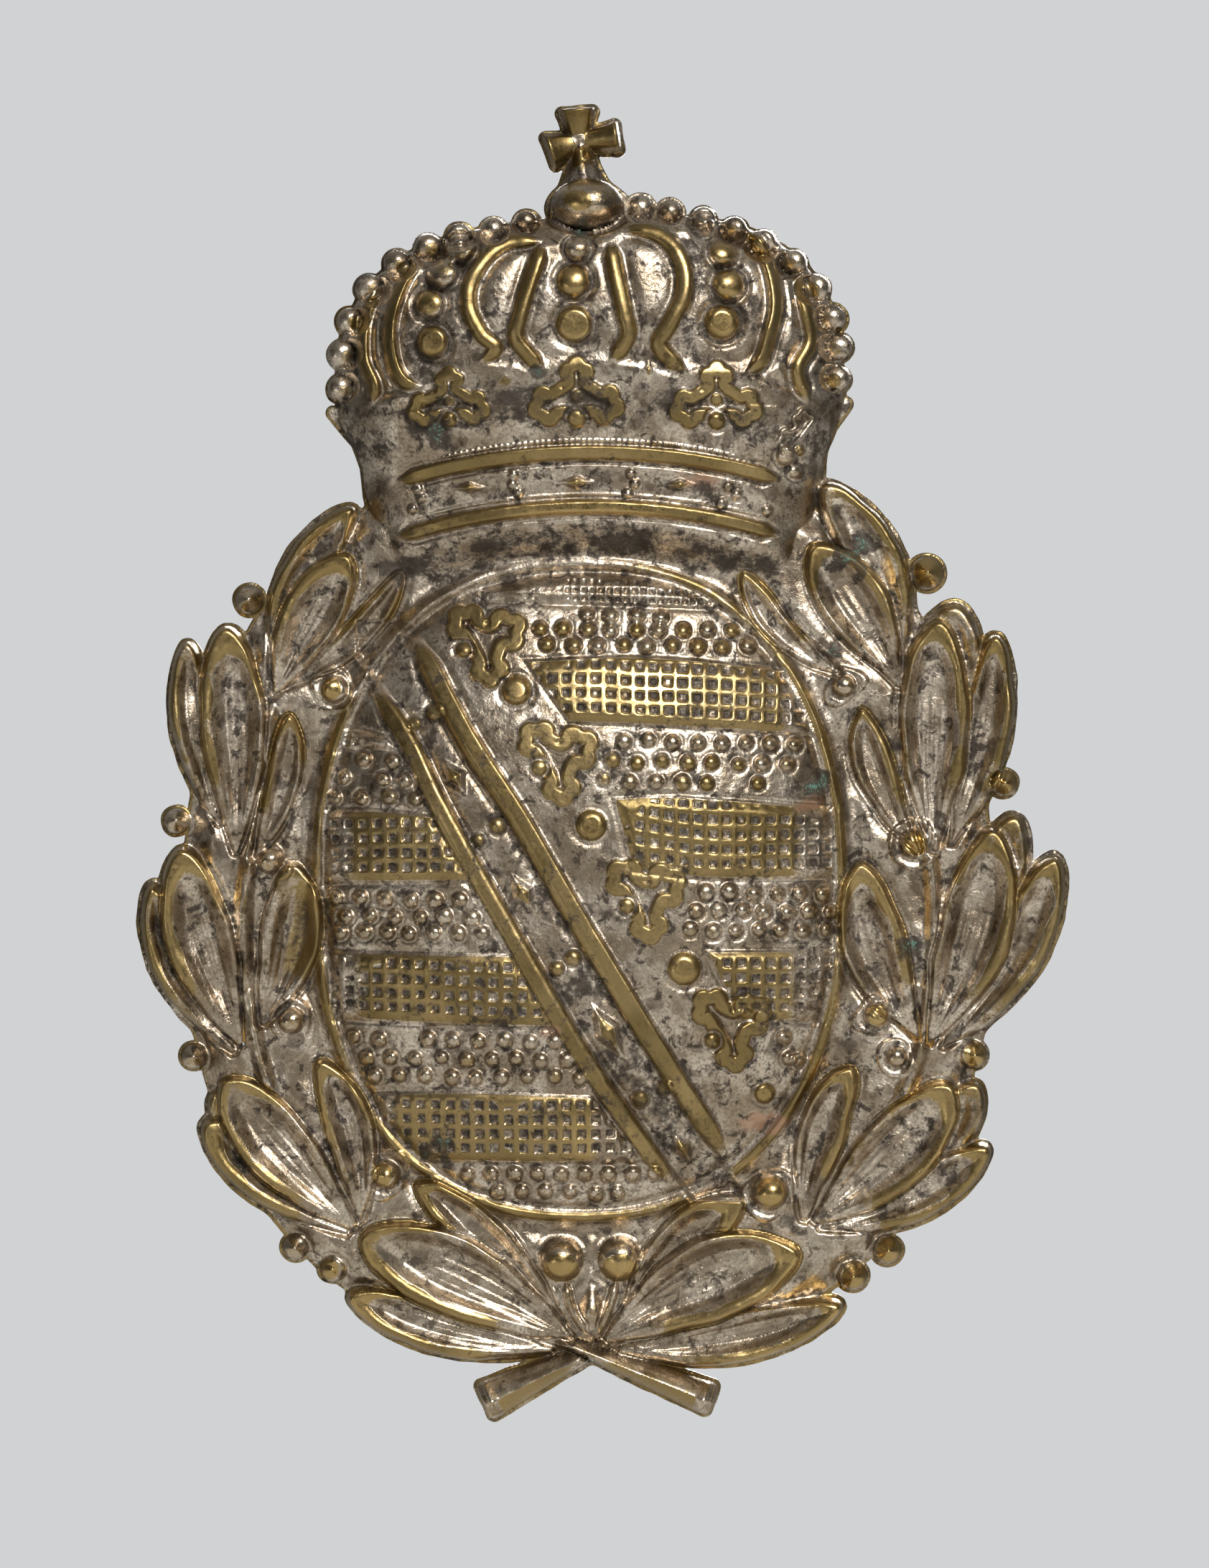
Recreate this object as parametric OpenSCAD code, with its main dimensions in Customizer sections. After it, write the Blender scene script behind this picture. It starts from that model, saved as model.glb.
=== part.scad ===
// Struck sheet-brass cap badge: crown over an oval shield in a laurel wreath, with three
// screw posts soldered into its hollow back. Millimetres. The front faces -Y, +Z is up.
// The origin is the centre of the circle through the three posts, on the plane of the rim's back.

/* [Badge] */
// Height from the stem ends to the top of the cross
badge_h = 98; // [90:1:110]
// Thickness of the brass sheet
sheet_t = 0.5; // [0.4:0.05:0.6]
// Width of the flat edge left around the relief
edge_w = 0.55; // [0.4:0.05:0.8]
// Spacing of the points that the relief is struck through
grid_step = 1.9; // [1.9:0.1:2.5]

/* [Relief] */
// Level of the ground between the leaves
ground_h = 1.3; // [0.8:0.1:1.6]
// Height of the shield's dome above the ground
shield_h = 5.2; // [4:0.2:7]
// Height of the crown's bulge
crown_h = 7.4; // [6:0.2:9]
// Height of a full-size leaf
leaf_h = 2.6; // [2:0.1:3]

/* [Posts and nuts] */
// Diameter of the circle through the three posts
post_circle = 54; // [53:0.5:55]
// Diameter of a post's plain shank, which passes through the cap
shank_d = 3.0; // [2.8:0.1:3.2]
// Diameter over the thread at a post's end
thread_d = 2.6; // [2.2:0.1:2.6]
// Length of the threaded end
thread_l = 5.6; // [5:0.2:7]
// Thickness of cap between the rim and the leather washer
cap_t = 2.0; // [1.6:0.1:3]
// Diameter of a leather washer
leather_d = 9.0; // [8:0.5:11]
// Thickness of a leather washer
leather_t = 1.4; // [1:0.1:2]
// Diameter of a brass washer
washer_d = 7.0; // [6:0.5:8]
// Thickness of a brass washer
washer_t = 0.6; // [0.4:0.1:0.8]
// Width across the flats of a square nut
nut_w = 5.5; // [5:0.5:6.5]
// Thickness of a nut
nut_t = 2.0; // [1.6:0.1:2.4]

/* [Hidden] */

// The relief below is drawn for a badge of this height and scaled to badge_h.
drawn_h = 98;
u = badge_h / drawn_h;

// Leaves: [base, tip, bow of the middle to the left of base-to-tip, half width, height factor]
LEAVES = [
  // left side, top to bottom
  [[-23.4, 15.5], [-17.6, 28.2], 1.2, 1.6, 0.8],
  [[-23.4, 14.2], [-17.8, 24.6], 0.4, 2.1, 1.0],
  [[-22.7, 14.9], [-13.9, 23.4], -1.0, 1.0, 0.7],
  [[-26.1, 2.4], [-26.8, 19.3], -0.2, 2.3, 1.0],
  [[-27.3, 4.5], [-29.8, 18.1], 0.7, 1.3, 0.8],
  [[-24.8, 2.2], [-22.1, 12.9], -0.6, 1.2, 0.8],
  [[-25.6, -11.8], [-30.2, 2.8], 0.6, 2.4, 1.0],
  [[-26.2, -12.2], [-32.4, 0.2], 1.0, 1.6, 0.8],
  [[-24.3, -10.2], [-21.7, 1.9], -0.8, 2.2, 1.0],
  [[-17.2, -25.2], [-27.1, -14.1], 0.3, 2.5, 1.0],
  [[-17.6, -25.6], [-28.4, -17.4], 0.1, 2.1, 0.8],
  [[-17.0, -24.8], [-19.8, -12.8], -0.9, 1.7, 1.0],
  [[-1.0, -33.4], [-16.8, -25.7], -0.4, 2.8, 1.0],
  [[-2.4, -34.2], [-17.6, -30.2], 0.6, 1.7, 0.8],
  [[-1.8, -32.4], [-12.8, -21.8], -0.6, 1.5, 0.9],
  // right side, top to bottom
  [[23.0, 15.6], [17.6, 29.9], -1.5, 1.9, 0.8],
  [[23.2, 15.0], [16.6, 25.5], -0.4, 2.4, 1.0],
  [[18.6, 16.0], [11.4, 23.5], 0.9, 1.0, 0.7],
  [[25.6, 2.6], [25.9, 19.9], 0.2, 2.5, 1.0],
  [[26.8, 3.0], [30.2, 18.7], -0.8, 1.6, 0.8],
  [[24.6, 2.6], [20.2, 13.4], 0.8, 1.3, 0.8],
  [[25.0, -11.8], [30.0, 4.3], -0.9, 2.6, 1.0],
  [[26.0, -12.0], [34.7, 2.3], -1.0, 2.0, 0.8],
  [[24.6, -11.2], [20.0, 2.0], 1.0, 2.3, 1.0],
  [[16.4, -24.8], [26.9, -14.7], -0.6, 2.6, 1.0],
  [[16.8, -25.2], [29.5, -19.3], -0.9, 1.7, 0.8],
  [[15.9, -24.7], [19.4, -13.1], 0.7, 1.7, 1.0],
  [[1.0, -33.6], [15.5, -26.8], 0.9, 2.9, 1.0],
  [[2.0, -34.2], [18.6, -30.9], -0.8, 1.7, 0.8],
  [[2.6, -32.4], [11.1, -22.9], 0.8, 2.0, 0.9],
  // leaves that show only behind others
  [[-20.5, -23.0], [-27.8, -15.4], 0.2, 1.6, 0.5],
  [[24.2, 8.0], [27.4, 21.0], -0.1, 2.7, 0.5],
  [[28.4, -6.0], [31.7, 5.3], 0.1, 1.9, 0.5],
  [[24.0, -22.0], [28.8, -14.6], -0.1, 1.6, 0.5]];

// Berries and beads: [centre, radius, level of the ground under it]
BERRIES = [
  [[-25.2, 21.5], 1.05, 0.6], [[-30.6, 5.1], 0.9, 0.6], [[-23.6, 2.1], 0.85, 1.4],
  [[-22.0, -9.7], 0.85, 1.4], [[-29.3, -12.4], 0.9, 0.6], [[-21.8, -26.6], 0.9, 0.6],
  [[-19.0, -28.2], 0.9, 0.6], [[-15.0, -21.1], 0.95, 1.4], [[25.1, 23.5], 1.2, 0.6],
  [[30.8, 7.9], 0.95, 0.6], [[24.1, 3.4], 1.0, 1.6], [[21.3, -9.3], 0.85, 1.4],
  [[28.6, -12.3], 0.95, 0.6], [[13.4, -22.4], 1.2, 1.4], [[22.2, -26.8], 1.0, 0.6],
  [[19.6, -28.7], 1.05, 0.6], [[-2.0, -27.4], 1.5, 1.4], [[2.3, -27.4], 1.5, 1.4]];

// The wreath's ground plate, the shield, the crown's cap and its flaring foot
plate_c = [0, -1.2];
plate_r = [29.6, 33.4];
plate_n = 2.25;
shield_c = [-0.7, 0];
shield_r = [19.6, 24.35];
shield_n = 2.3;
crown_c = [0.3, 36.6];
crown_r = [19.2, 13.5];
crown_n = 2.9;
crown_tilt = 4;
FOOT = [[-19.0, 35.4], [-17.1, 33.2], [-16.4, 31.4], [-16.2, 29.2], [-14.5, 22],
        [14.5, 22], [16.9, 30.2], [17.2, 32.6], [17.9, 34.4], [19.1, 36.1]];
bead_r = 1.05;
bead_angles = [for (a = [6 : 8.2 : 84]) a];
// Up the crown's middle, and half its width below crown_c: [height up the badge, value]
CROWN_RISE = [[23, 0.18], [24.6, 0.2], [26, 0.4], [27.4, 0.56], [30, 0.6], [32.5, 0.68],
              [35.5, 0.81], [38, 0.89], [42, 1], [46, 0.92], [49, 0.65], [51, 0.32]];
CROWN_HALF = [[23, 15], [26, 15.6], [30, 16.6], [32, 17.2], [35.8, 19.2]];
orb_c = [-0.4, 50.8];
orb_r = [2.6, 1.95];
cross_c = [-1.0, 56.0];
// The cross's arms: [direction, length, half the width of the end]
ARMS = [[94, 2.0, 1.0], [0, 3.2, 1.1], [182, 1.9, 0.9], [272, 1.9, 0.8]];
cross_neck = [-0.7, 52.4];
STEMS = [[[1.0, -33.8], [-7.6, -38.4], 0.75], [[-1.9, -33.7], [9.0, -37.8], 0.85]];

// The drawing's zero is the shield's centre, and the posts' circle is centred above it.
drawing_z = 3.5;

function sgn(v) = v < 0 ? -1 : 1;
function oval_rho(p, c, r, n) =
    pow(pow(abs(p[0] - c[0]) / r[0], n) + pow(abs(p[1] - c[1]) / r[1], n), 1 / n);
function oval_point(c, r, n, a) =
    [c[0] + r[0] * sgn(cos(a)) * pow(abs(cos(a)), 2 / n),
     c[1] + r[1] * sgn(sin(a)) * pow(abs(sin(a)), 2 / n)];
function turned(p, c, a) =
    let (d = p - c) c + [d[0] * cos(a) - d[1] * sin(a), d[0] * sin(a) + d[1] * cos(a)];
function bead_place(a) =
    turned(oval_point(crown_c, crown_r - [0.9, 0.7], crown_n, a), crown_c, crown_tilt);
function bump(v) = sqrt(max(0, 1 - v * v));

// A leaf's half width at t along it, from 0 at its base to 1 at its tip
function leaf_width(t) = pow(sin(180 * pow(t, 1.25)), 0.62);
function leaf_height(p, leaf) =
    let (d = leaf[1] - leaf[0], l = norm(d), e = d / l, q = p - leaf[0],
         t = (q * e) / l,
         s = (e[0] * q[1] - e[1] * q[0]) - 4 * leaf[2] * t * (1 - t))
    t <= 0 || t >= 1 ? 0 :
    leaf_h * leaf[4] * min(1, 2.2 * leaf_width(t)) * bump(s / (leaf[3] * leaf_width(t) + 0.01));
function berry_height(p, b) =
    let (v = norm(p - b[0]) / b[1]) v >= 1 ? 0 : b[2] + b[1] * bump(v);
function stem_height(p, s) =
    let (d = s[1] - s[0], t = max(0, min(1, ((p - s[0]) * d) / (d * d))))
    1.9 * bump(norm(p - s[0] - t * d) / s[2]);

function plate_height(p) =
    ground_h * max(0, min(1, (1 - oval_rho(p, plate_c, plate_r, plate_n)) * 12));
function shield_height(p) =
    let (v = oval_rho(p, shield_c, shield_r, shield_n))
    v >= 1 ? 0 : ground_h + shield_h * (1 - pow(v, 2.8));
function crown_half(z) =
    z < crown_c[1] ? lookup(z, CROWN_HALF) :
    crown_r[0] * pow(max(0, 1 - pow((z - crown_c[1]) / crown_r[1], crown_n)), 1 / crown_n);
function crown_height(p) =
    let (q = turned(p, crown_c, p[1] > 34 ? -crown_tilt : 0),
         v = abs(q[0] - crown_c[0]) / (crown_half(q[1]) + 0.01),
         bow = 2.3 * pow((p[0] - crown_c[0]) / 14, 2),
         upper = p[1] - 32.7 + bow, lower = p[1] - 28.7 + bow)
    v >= 1 || p[1] < 23 ? 0 :
    crown_h * lookup(q[1] + (p[1] < 34 ? bow : 0), CROWN_RISE) * pow(1 - pow(v, 3), 0.65)
    + 0.5 * exp(-upper * upper / 0.4) + 0.5 * exp(-lower * lower / 0.4);
function top_height(p) =
    let (o = norm([(p[0] - orb_c[0]) / orb_r[0], (p[1] - orb_c[1]) / orb_r[1]]),
         c = norm(p - cross_c))
    max(4.2 * bump(o), c < 2.4 ? 1.4 : 0,
        abs(p[0] - cross_neck[0]) < 1.2 && p[1] > orb_c[1] && p[1] < cross_c[1] ? 1.3 : 0);

// Height of the relief above the rim's plane at a point of the drawing
function relief(p) = max(concat(
    [for (q = [left_at, right_at]) norm(p - q - [0, drawing_z]) < foot_r + 1 ? ground_h : 0],
    [plate_height(p), shield_height(p), crown_height(p), top_height(p)],
    [for (l = LEAVES) norm(p - (l[0] + l[1]) / 2) < 12 ? leaf_height(p, l) : 0],
    [for (b = BERRIES) berry_height(p, b)],
    [for (s = STEMS) stem_height(p, s)]));

module leaf_outline(leaf) {
  d = leaf[1] - leaf[0];
  l = norm(d);
  e = d / l;
  n = [-e[1], e[0]];
  steps = [0.02, 0.12, 0.25, 0.4, 0.55, 0.7, 0.82, 0.91, 0.97, 0.998];
  side = [for (t = steps) [t, leaf[3] * leaf_width(t)]];
  function at(t, s) = leaf[0] + e * l * t + n * (4 * leaf[2] * t * (1 - t) + s);
  polygon(concat([for (v = side) at(v[0], v[1])],
                 [for (i = [len(side) - 1 : -1 : 0]) at(side[i][0], -side[i][1])]));
}

module oval_outline(c, r, n, step) {
  polygon([for (a = [0 : step : 359]) oval_point(c, r, n, a)]);
}

module cross_outline() {
  translate(cross_c)
  for (arm = ARMS) rotate(arm[0])
    polygon([[0, -0.4], [arm[1], -arm[2]], [arm[1], arm[2]], [0, 0.4]]);
}

module badge_outline() {
  offset(delta = edge_w) {
    for (leaf = LEAVES) leaf_outline(leaf);
    for (b = BERRIES) translate(b[0]) circle(r = b[1] - 0.1, $fn = 14);
    oval_outline(plate_c, plate_r, plate_n, 7.5);
    translate(crown_c) rotate(crown_tilt) translate(-crown_c) intersection() {
      oval_outline(crown_c, crown_r, crown_n, 7.5);
      translate([crown_c[0] - 25, crown_c[1] - 1]) square([50, 30]);
    }
    for (a = bead_angles, m = [0, 1])
      translate(bead_place(m == 0 ? a : 180 - a)) circle(r = bead_r + 0.35, $fn = 14);
    polygon(FOOT);
    translate(orb_c) scale([1, orb_r[1] / orb_r[0]]) circle(r = orb_r[0], $fn = 20);
    cross_outline();
    translate(cross_neck) square([1.1, 3], center = true);
    for (s = STEMS) stem_outline(s);
  }
}

module stem_outline(s) {
  d = s[1] - s[0];
  e = d / norm(d);
  n = [-e[1], e[0]];
  polygon([s[0] + n * s[2] * 0.7, s[0] - n * s[2] * 0.7, s[1] - n * s[2], s[1] + n * s[2]]);
}

// The struck sheet: two copies of the relief's surface, one sheet thickness apart
module struck_sheet() {
  x0 = -37;
  z0 = -41;
  nx = ceil(74 / grid_step);
  nz = ceil(101 / grid_step);
  front = [for (j = [0 : nz], i = [0 : nx])
           let (x = x0 + i * grid_step, z = z0 + j * grid_step) [x, -relief([x, z]), z]];
  n = len(front);
  function id(i, j, back) = j * (nx + 1) + i + (back ? n : 0);
  points = concat([for (p = front) p - [0, sheet_t, 0]], front);
  skin = [for (j = [0 : nz - 1], i = [0 : nx - 1])
          let (a = id(i, j, false), b = id(i + 1, j, false),
               c = id(i + 1, j + 1, false), d = id(i, j + 1, false))
          each [[a, c, b], [a, d, c], [a + n, b + n, c + n], [a + n, c + n, d + n]]];
  edge = concat(
    [for (i = [0 : nx - 1]) each [
      [id(i, 0, false), id(i + 1, 0, false), id(i + 1, 0, true), id(i, 0, true)],
      [id(i + 1, nz, false), id(i, nz, false), id(i, nz, true), id(i + 1, nz, true)]]],
    [for (j = [0 : nz - 1]) each [
      [id(0, j + 1, false), id(0, j, false), id(0, j, true), id(0, j + 1, true)],
      [id(nx, j, false), id(nx, j + 1, false), id(nx, j + 1, true), id(nx, j, true)]]]);
  polyhedron(points, concat(skin, edge), convexity = 8);
}

// The beads along the crown's edge, which stand proud of the sheet
module crown_beads() {
  for (a = bead_angles, m = [0, 1]) {
    p = bead_place(m == 0 ? a : 180 - a);
    translate([p[0], -relief(p) - sheet_t / 2, p[1]]) hull() sphere(r = bead_r, $fn = 8);
  }
}

module face_stamping() {
  color([0.66, 0.57, 0.42])
  translate([0, 0, -drawing_z * u]) scale([u, 1, u]) {
    intersection() {
      struck_sheet();
      rotate([90, 0, 0]) linear_extrude(20, center = true) badge_outline();
    }
    crown_beads();
  }
}

// Place of each post: [x, z]. Its foot is soldered into the hollow, in front of the rim's plane.
upper_at = [0, post_circle / 2];
left_at = [-post_circle / 2 * cos(30), -post_circle / 2 * sin(30)];
right_at = [post_circle / 2 * cos(30), -post_circle / 2 * sin(30)];
foot_r = 2.6;
low_foot_y = -ground_h - 0.05;
high_foot_y = -0.61 * crown_h;
foot_t = 0.5;
collar_r = shank_d / 2 + 0.3;
collar_l = 0.35;
solder_r = 3.1;
fit = 0.03;
seat_y = cap_t + 0.05;
washer_y = seat_y + leather_t;
nut_y = washer_y + washer_t;
nut_chamfer = 0.35;

// Turns a shape drawn along +Z from the rim's plane so that it points along +Y at a post
module at_post(place) {
  translate([place[0], 0, place[1]]) rotate([-90, 0, 0]) children();
}

module post(place, foot_y) {
  color([0.62, 0.49, 0.26])
  at_post(place) rotate_extrude($fn = 48) polygon([
    [0, foot_y], [foot_r, foot_y], [foot_r, foot_y + foot_t],
    [collar_r, foot_y + foot_t], [collar_r, foot_y + foot_t + collar_l],
    [shank_d / 2, foot_y + foot_t + collar_l], [shank_d / 2, cap_t], [thread_d / 2, cap_t],
    [thread_d / 2, cap_t + thread_l - 0.4], [thread_d / 2 - 0.4, cap_t + thread_l],
    [0, cap_t + thread_l]]);
}

module solder(place, foot_y) {
  color([0.62, 0.62, 0.60])
  at_post(place) rotate_extrude($fn = 48) polygon([
    [foot_r, foot_y], [solder_r, foot_y], [foot_r + 0.1, foot_y + foot_t],
    [collar_r + 0.3, foot_y + foot_t + 0.15], [collar_r, foot_y + foot_t + collar_l],
    [collar_r, foot_y + foot_t], [foot_r, foot_y + foot_t]]);
}

module leather_washer(place) {
  color([0.24, 0.15, 0.09])
  at_post(place) translate([0, 0, seat_y]) rotate_extrude($fn = 64)
    translate([thread_d / 2 + 2 * fit, 0])
      square([leather_d / 2 - thread_d / 2 - 2 * fit, leather_t]);
}

module washer(place) {
  color([0.66, 0.52, 0.28])
  at_post(place) translate([0, 0, washer_y]) rotate_extrude($fn = 64)
    translate([thread_d / 2 + 2 * fit, 0])
      square([washer_d / 2 - thread_d / 2 - 2 * fit, washer_t]);
}

module nut(place) {
  color([0.64, 0.5, 0.26])
  at_post(place) translate([0, 0, nut_y]) difference() {
    intersection() {
      translate([-nut_w / 2, -nut_w / 2, 0]) cube([nut_w, nut_w, nut_t]);
      cylinder(r1 = nut_w * 0.66 + nut_t, r2 = nut_w * 0.66 - nut_chamfer, h = nut_t, $fn = 64);
    }
    translate([0, 0, -1]) cylinder(r = thread_d / 2 + fit, h = nut_t + 2, $fn = 48);
  }
}

module upper_post() { post(upper_at, high_foot_y); }
module upper_solder() { solder(upper_at, high_foot_y); }
module upper_leather_washer() { leather_washer(upper_at); }
module upper_washer() { washer(upper_at); }
module upper_nut() { nut(upper_at); }
module lower_left_post() { post(left_at, low_foot_y); }
module lower_left_solder() { solder(left_at, low_foot_y); }
module lower_left_leather_washer() { leather_washer(left_at); }
module lower_left_washer() { washer(left_at); }
module lower_left_nut() { nut(left_at); }
module lower_right_post() { post(right_at, low_foot_y); }
module lower_right_solder() { solder(right_at, low_foot_y); }
module lower_right_leather_washer() { leather_washer(right_at); }
module lower_right_washer() { washer(right_at); }
module lower_right_nut() { nut(right_at); }

face_stamping();
upper_post();
upper_solder();
upper_leather_washer();
upper_washer();
upper_nut();
lower_left_post();
lower_left_solder();
lower_left_leather_washer();
lower_left_washer();
lower_left_nut();
lower_right_post();
lower_right_solder();
lower_right_leather_washer();
lower_right_washer();
lower_right_nut();
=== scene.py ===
"""The looks of a struck sheet-brass cap badge and its screw fixings, built over the CAD frame.

The relief is drawn in millimetres, x to the right and z up from the middle of the shield, as the
badge is seen from the front. Heights are measured forwards from the plane of the rim's back.
"""
import math

import bpy
import numpy as np
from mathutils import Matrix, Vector


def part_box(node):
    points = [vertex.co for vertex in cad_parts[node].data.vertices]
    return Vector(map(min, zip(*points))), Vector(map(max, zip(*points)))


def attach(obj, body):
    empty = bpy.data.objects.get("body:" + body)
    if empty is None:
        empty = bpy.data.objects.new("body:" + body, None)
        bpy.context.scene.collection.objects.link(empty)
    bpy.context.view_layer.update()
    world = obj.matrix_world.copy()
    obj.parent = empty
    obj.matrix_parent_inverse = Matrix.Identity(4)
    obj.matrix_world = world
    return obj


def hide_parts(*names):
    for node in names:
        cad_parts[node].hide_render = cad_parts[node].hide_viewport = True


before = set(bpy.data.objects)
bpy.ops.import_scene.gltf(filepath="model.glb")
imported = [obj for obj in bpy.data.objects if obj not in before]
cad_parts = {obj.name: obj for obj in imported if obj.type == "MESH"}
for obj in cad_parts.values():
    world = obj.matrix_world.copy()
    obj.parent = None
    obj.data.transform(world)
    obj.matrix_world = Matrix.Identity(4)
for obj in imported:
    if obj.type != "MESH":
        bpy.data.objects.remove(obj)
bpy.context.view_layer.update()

MM = 0.001
STEP = 0.11  # spacing of the grid that the relief is drawn on
LEFT, RIGHT, LOW, HIGH = -36.5, 38.5, -42, 61  # how far the grid reaches
DRAWING_Z = 3.5  # the drawing's height at the frame's zero
SHEET = 0.5  # thickness of the sheet
EDGE = 0.55  # how far the cut edge lies outside the drawing's shapes
FULL = 0.36  # how far the struck shapes spread towards that edge
GROUND = 1.3  # height of the ground that the wreath lies on
TOP, ABOVE_TOP = 6, 0.62  # above this height the relief keeps this share of its rise
SHIELD_RISE, CROWN_RISE, LEAF_RISE = 5.2, 7.4, 2.1
LOWER_POST, CLEAR = (23.383, -10), 3.6  # a lower post's place in the drawing, and its free radius

ALL = np.s_[:, :]
X, Z = np.meshgrid(np.arange(LEFT, RIGHT, STEP), np.arange(LOW, HIGH, STEP))
H = np.zeros_like(X)  # height of the relief
BRASS = np.zeros_like(X)  # how far the silvering has worn through
GRIME_AND_SHADE = np.zeros_like(X)  # dark tarnish, and painted shade, in the hollows and creases
GREEN = np.zeros_like(X)  # verdigris
COPPER = np.zeros_like(X)  # pink copper flash
RUBBED_AND_SHEEN = np.zeros_like(X)  # where handling has polished the metal, painted lighter there as a painted sheen too


# ---- drawing tools
def smooth(a, b, v):
    """A soft step from 0 at a to 1 at b, whichever of them is larger."""
    t = np.clip((v - a) / (b - a), 0, 1)
    return t * t * (3 - 2 * t)


def bell(v, width, power=2):
    """1 where v is 0, falling off on both sides of it."""
    return np.exp(-((v / width) ** power))


def dome(v, power=0.55):
    """1 where v is 0, rounding down to 0 where it's 1."""
    return np.clip(1 - v**2, 0, 1) ** power


def window(points, pad):
    """The part of the grid that lies round some points."""
    p = np.asarray(points, float).reshape(-1, 2)
    i0, j0 = np.floor((p.min(0) - pad - (LEFT, LOW)) / STEP).astype(int)
    i1, j1 = np.ceil((p.max(0) + pad - (LEFT, LOW)) / STEP).astype(int) + 1
    return np.s_[max(0, j0) : max(0, j1), max(0, i0) : max(0, i1)]


def around(centre, pad):
    """The part of the grid round a point, and its distances from the point."""
    w = window([centre], pad)
    return w, np.hypot(X[w] - centre[0], Z[w] - centre[1])


def noise(size, seed, w=ALL):
    """Smooth random values from 0 to 1, with lumps of one size, over the grid or a part of it."""
    rows, cols = int((Z[-1, -1] - LOW) / size) + 2, int((X[-1, -1] - LEFT) / size) + 2
    lattice = np.random.default_rng(seed).random((rows, cols))
    u, v = (X[w] - LEFT) / size, (Z[w] - LOW) / size
    i, j = u.astype(int), v.astype(int)
    fu, fv = smooth(0, 1, u - i), smooth(0, 1, v - j)
    low = lattice[j, i] * (1 - fu) + lattice[j, i + 1] * fu
    high = lattice[j + 1, i] * (1 - fu) + lattice[j + 1, i + 1] * fu
    return low * (1 - fv) + high * fv


def blur(field, size):
    """A field smoothed over a distance in millimetres."""
    fx = np.fft.rfftfreq(field.shape[1], STEP)[None, :]
    fz = np.fft.fftfreq(field.shape[0], STEP)[:, None]
    gain = np.exp(-2 * (math.pi * size) ** 2 * (fx**2 + fz**2))
    return np.fft.irfft2(np.fft.rfft2(field) * gain, field.shape)


def curve(points):
    """A smooth line through some points, which may be given as x and z in turn."""
    p = np.asarray(points, float).reshape(-1, 2)
    p = np.vstack([2 * p[0] - p[1], p, 2 * p[-1] - p[-2]])
    out = []
    for a, b, c, d in zip(p, p[1:], p[2:], p[3:]):
        for t in np.arange(7) / 7:
            bend = (2 * a - 5 * b + 4 * c - d) * t**2 + (3 * b - a - 3 * c + d) * t**3
            out.append(b + 0.5 * ((c - a) * t + bend))
    out.append(p[-2])
    return np.array(out)


def along(path, w):
    """Distance from a line, the share of its length reached, and the signed distance to its left."""
    x, z = X[w], Z[w]
    best = np.full(x.shape, 1e9)
    share = np.zeros(x.shape)
    left = np.zeros(x.shape)
    run = 0
    for (ax, az), (bx, bz) in zip(path[:-1], path[1:]):
        dx, dz = bx - ax, bz - az
        length = math.hypot(dx, dz)
        if length < 1e-6:
            continue
        t = np.clip(((x - ax) * dx + (z - az) * dz) / length**2, 0, 1)
        d = np.hypot(x - ax - t * dx, z - az - t * dz)
        near = d < best
        best = np.where(near, d, best)
        share = np.where(near, run + t * length, share)
        left = np.where(near, (dx * (z - az) - dz * (x - ax)) / length, left)
        run += length
    return best, share / run, left


def inside(outline, w):
    """Distance inside a closed outline, negative outside it."""
    p = np.asarray(outline, float).reshape(-1, 2)
    closed = np.vstack([p, p[:1]])
    d, _, _ = along(closed, w)
    x, z = X[w], Z[w]
    odd = np.zeros(x.shape, bool)
    for (ax, az), (bx, bz) in zip(closed[:-1], closed[1:]):
        if az != bz:
            cross = ax + (z - az) * (bx - ax) / (bz - az)
            odd ^= ((z < az) != (z < bz)) & (x < cross)
    return np.where(odd, d, -d)


def joined(a, b, k=0.25):
    """The union of two distances inside, with a fillet of size k between them."""
    h = np.clip(0.5 + 0.5 * (a - b) / k, 0, 1)
    return a * h + b * (1 - h) + k * h * (1 - h)


def turned(x, z, centre, degrees):
    """Points turned anticlockwise about a centre."""
    c, s = np.cos(np.radians(degrees)), np.sin(np.radians(degrees))
    dx, dz = x - centre[0], z - centre[1]
    return centre[0] + dx * c - dz * s, centre[1] + dx * s + dz * c


def oval(x, z, c, r, n):
    """0 at a rounded oval's centre and 1 on its edge."""
    return (np.abs((x - c[0]) / r[0]) ** n + np.abs((z - c[1]) / r[1]) ** n) ** (1 / n)


def blot(x, z, rx, rz, pad, ragged, size, seed):
    """The part of the grid round a spot, and how far out it lies, 1 at the spot's ragged edge."""
    w = window([(x, z)], pad)
    return w, np.hypot((X[w] - x) / rx, (Z[w] - z) / rz) + ragged * (noise(size, seed, w) - 0.5)


def oval_inside(c, r, n, tilt=0):
    """Distance inside a rounded oval, true near its edge."""
    x, z = turned(X, Z, c, -tilt)
    rho = np.maximum(oval(x, z, c, r, n), 0.2)
    gz, gx = np.gradient(rho, STEP)
    return (1 - rho) / np.maximum(np.hypot(gx, gz), 0.02)


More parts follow.
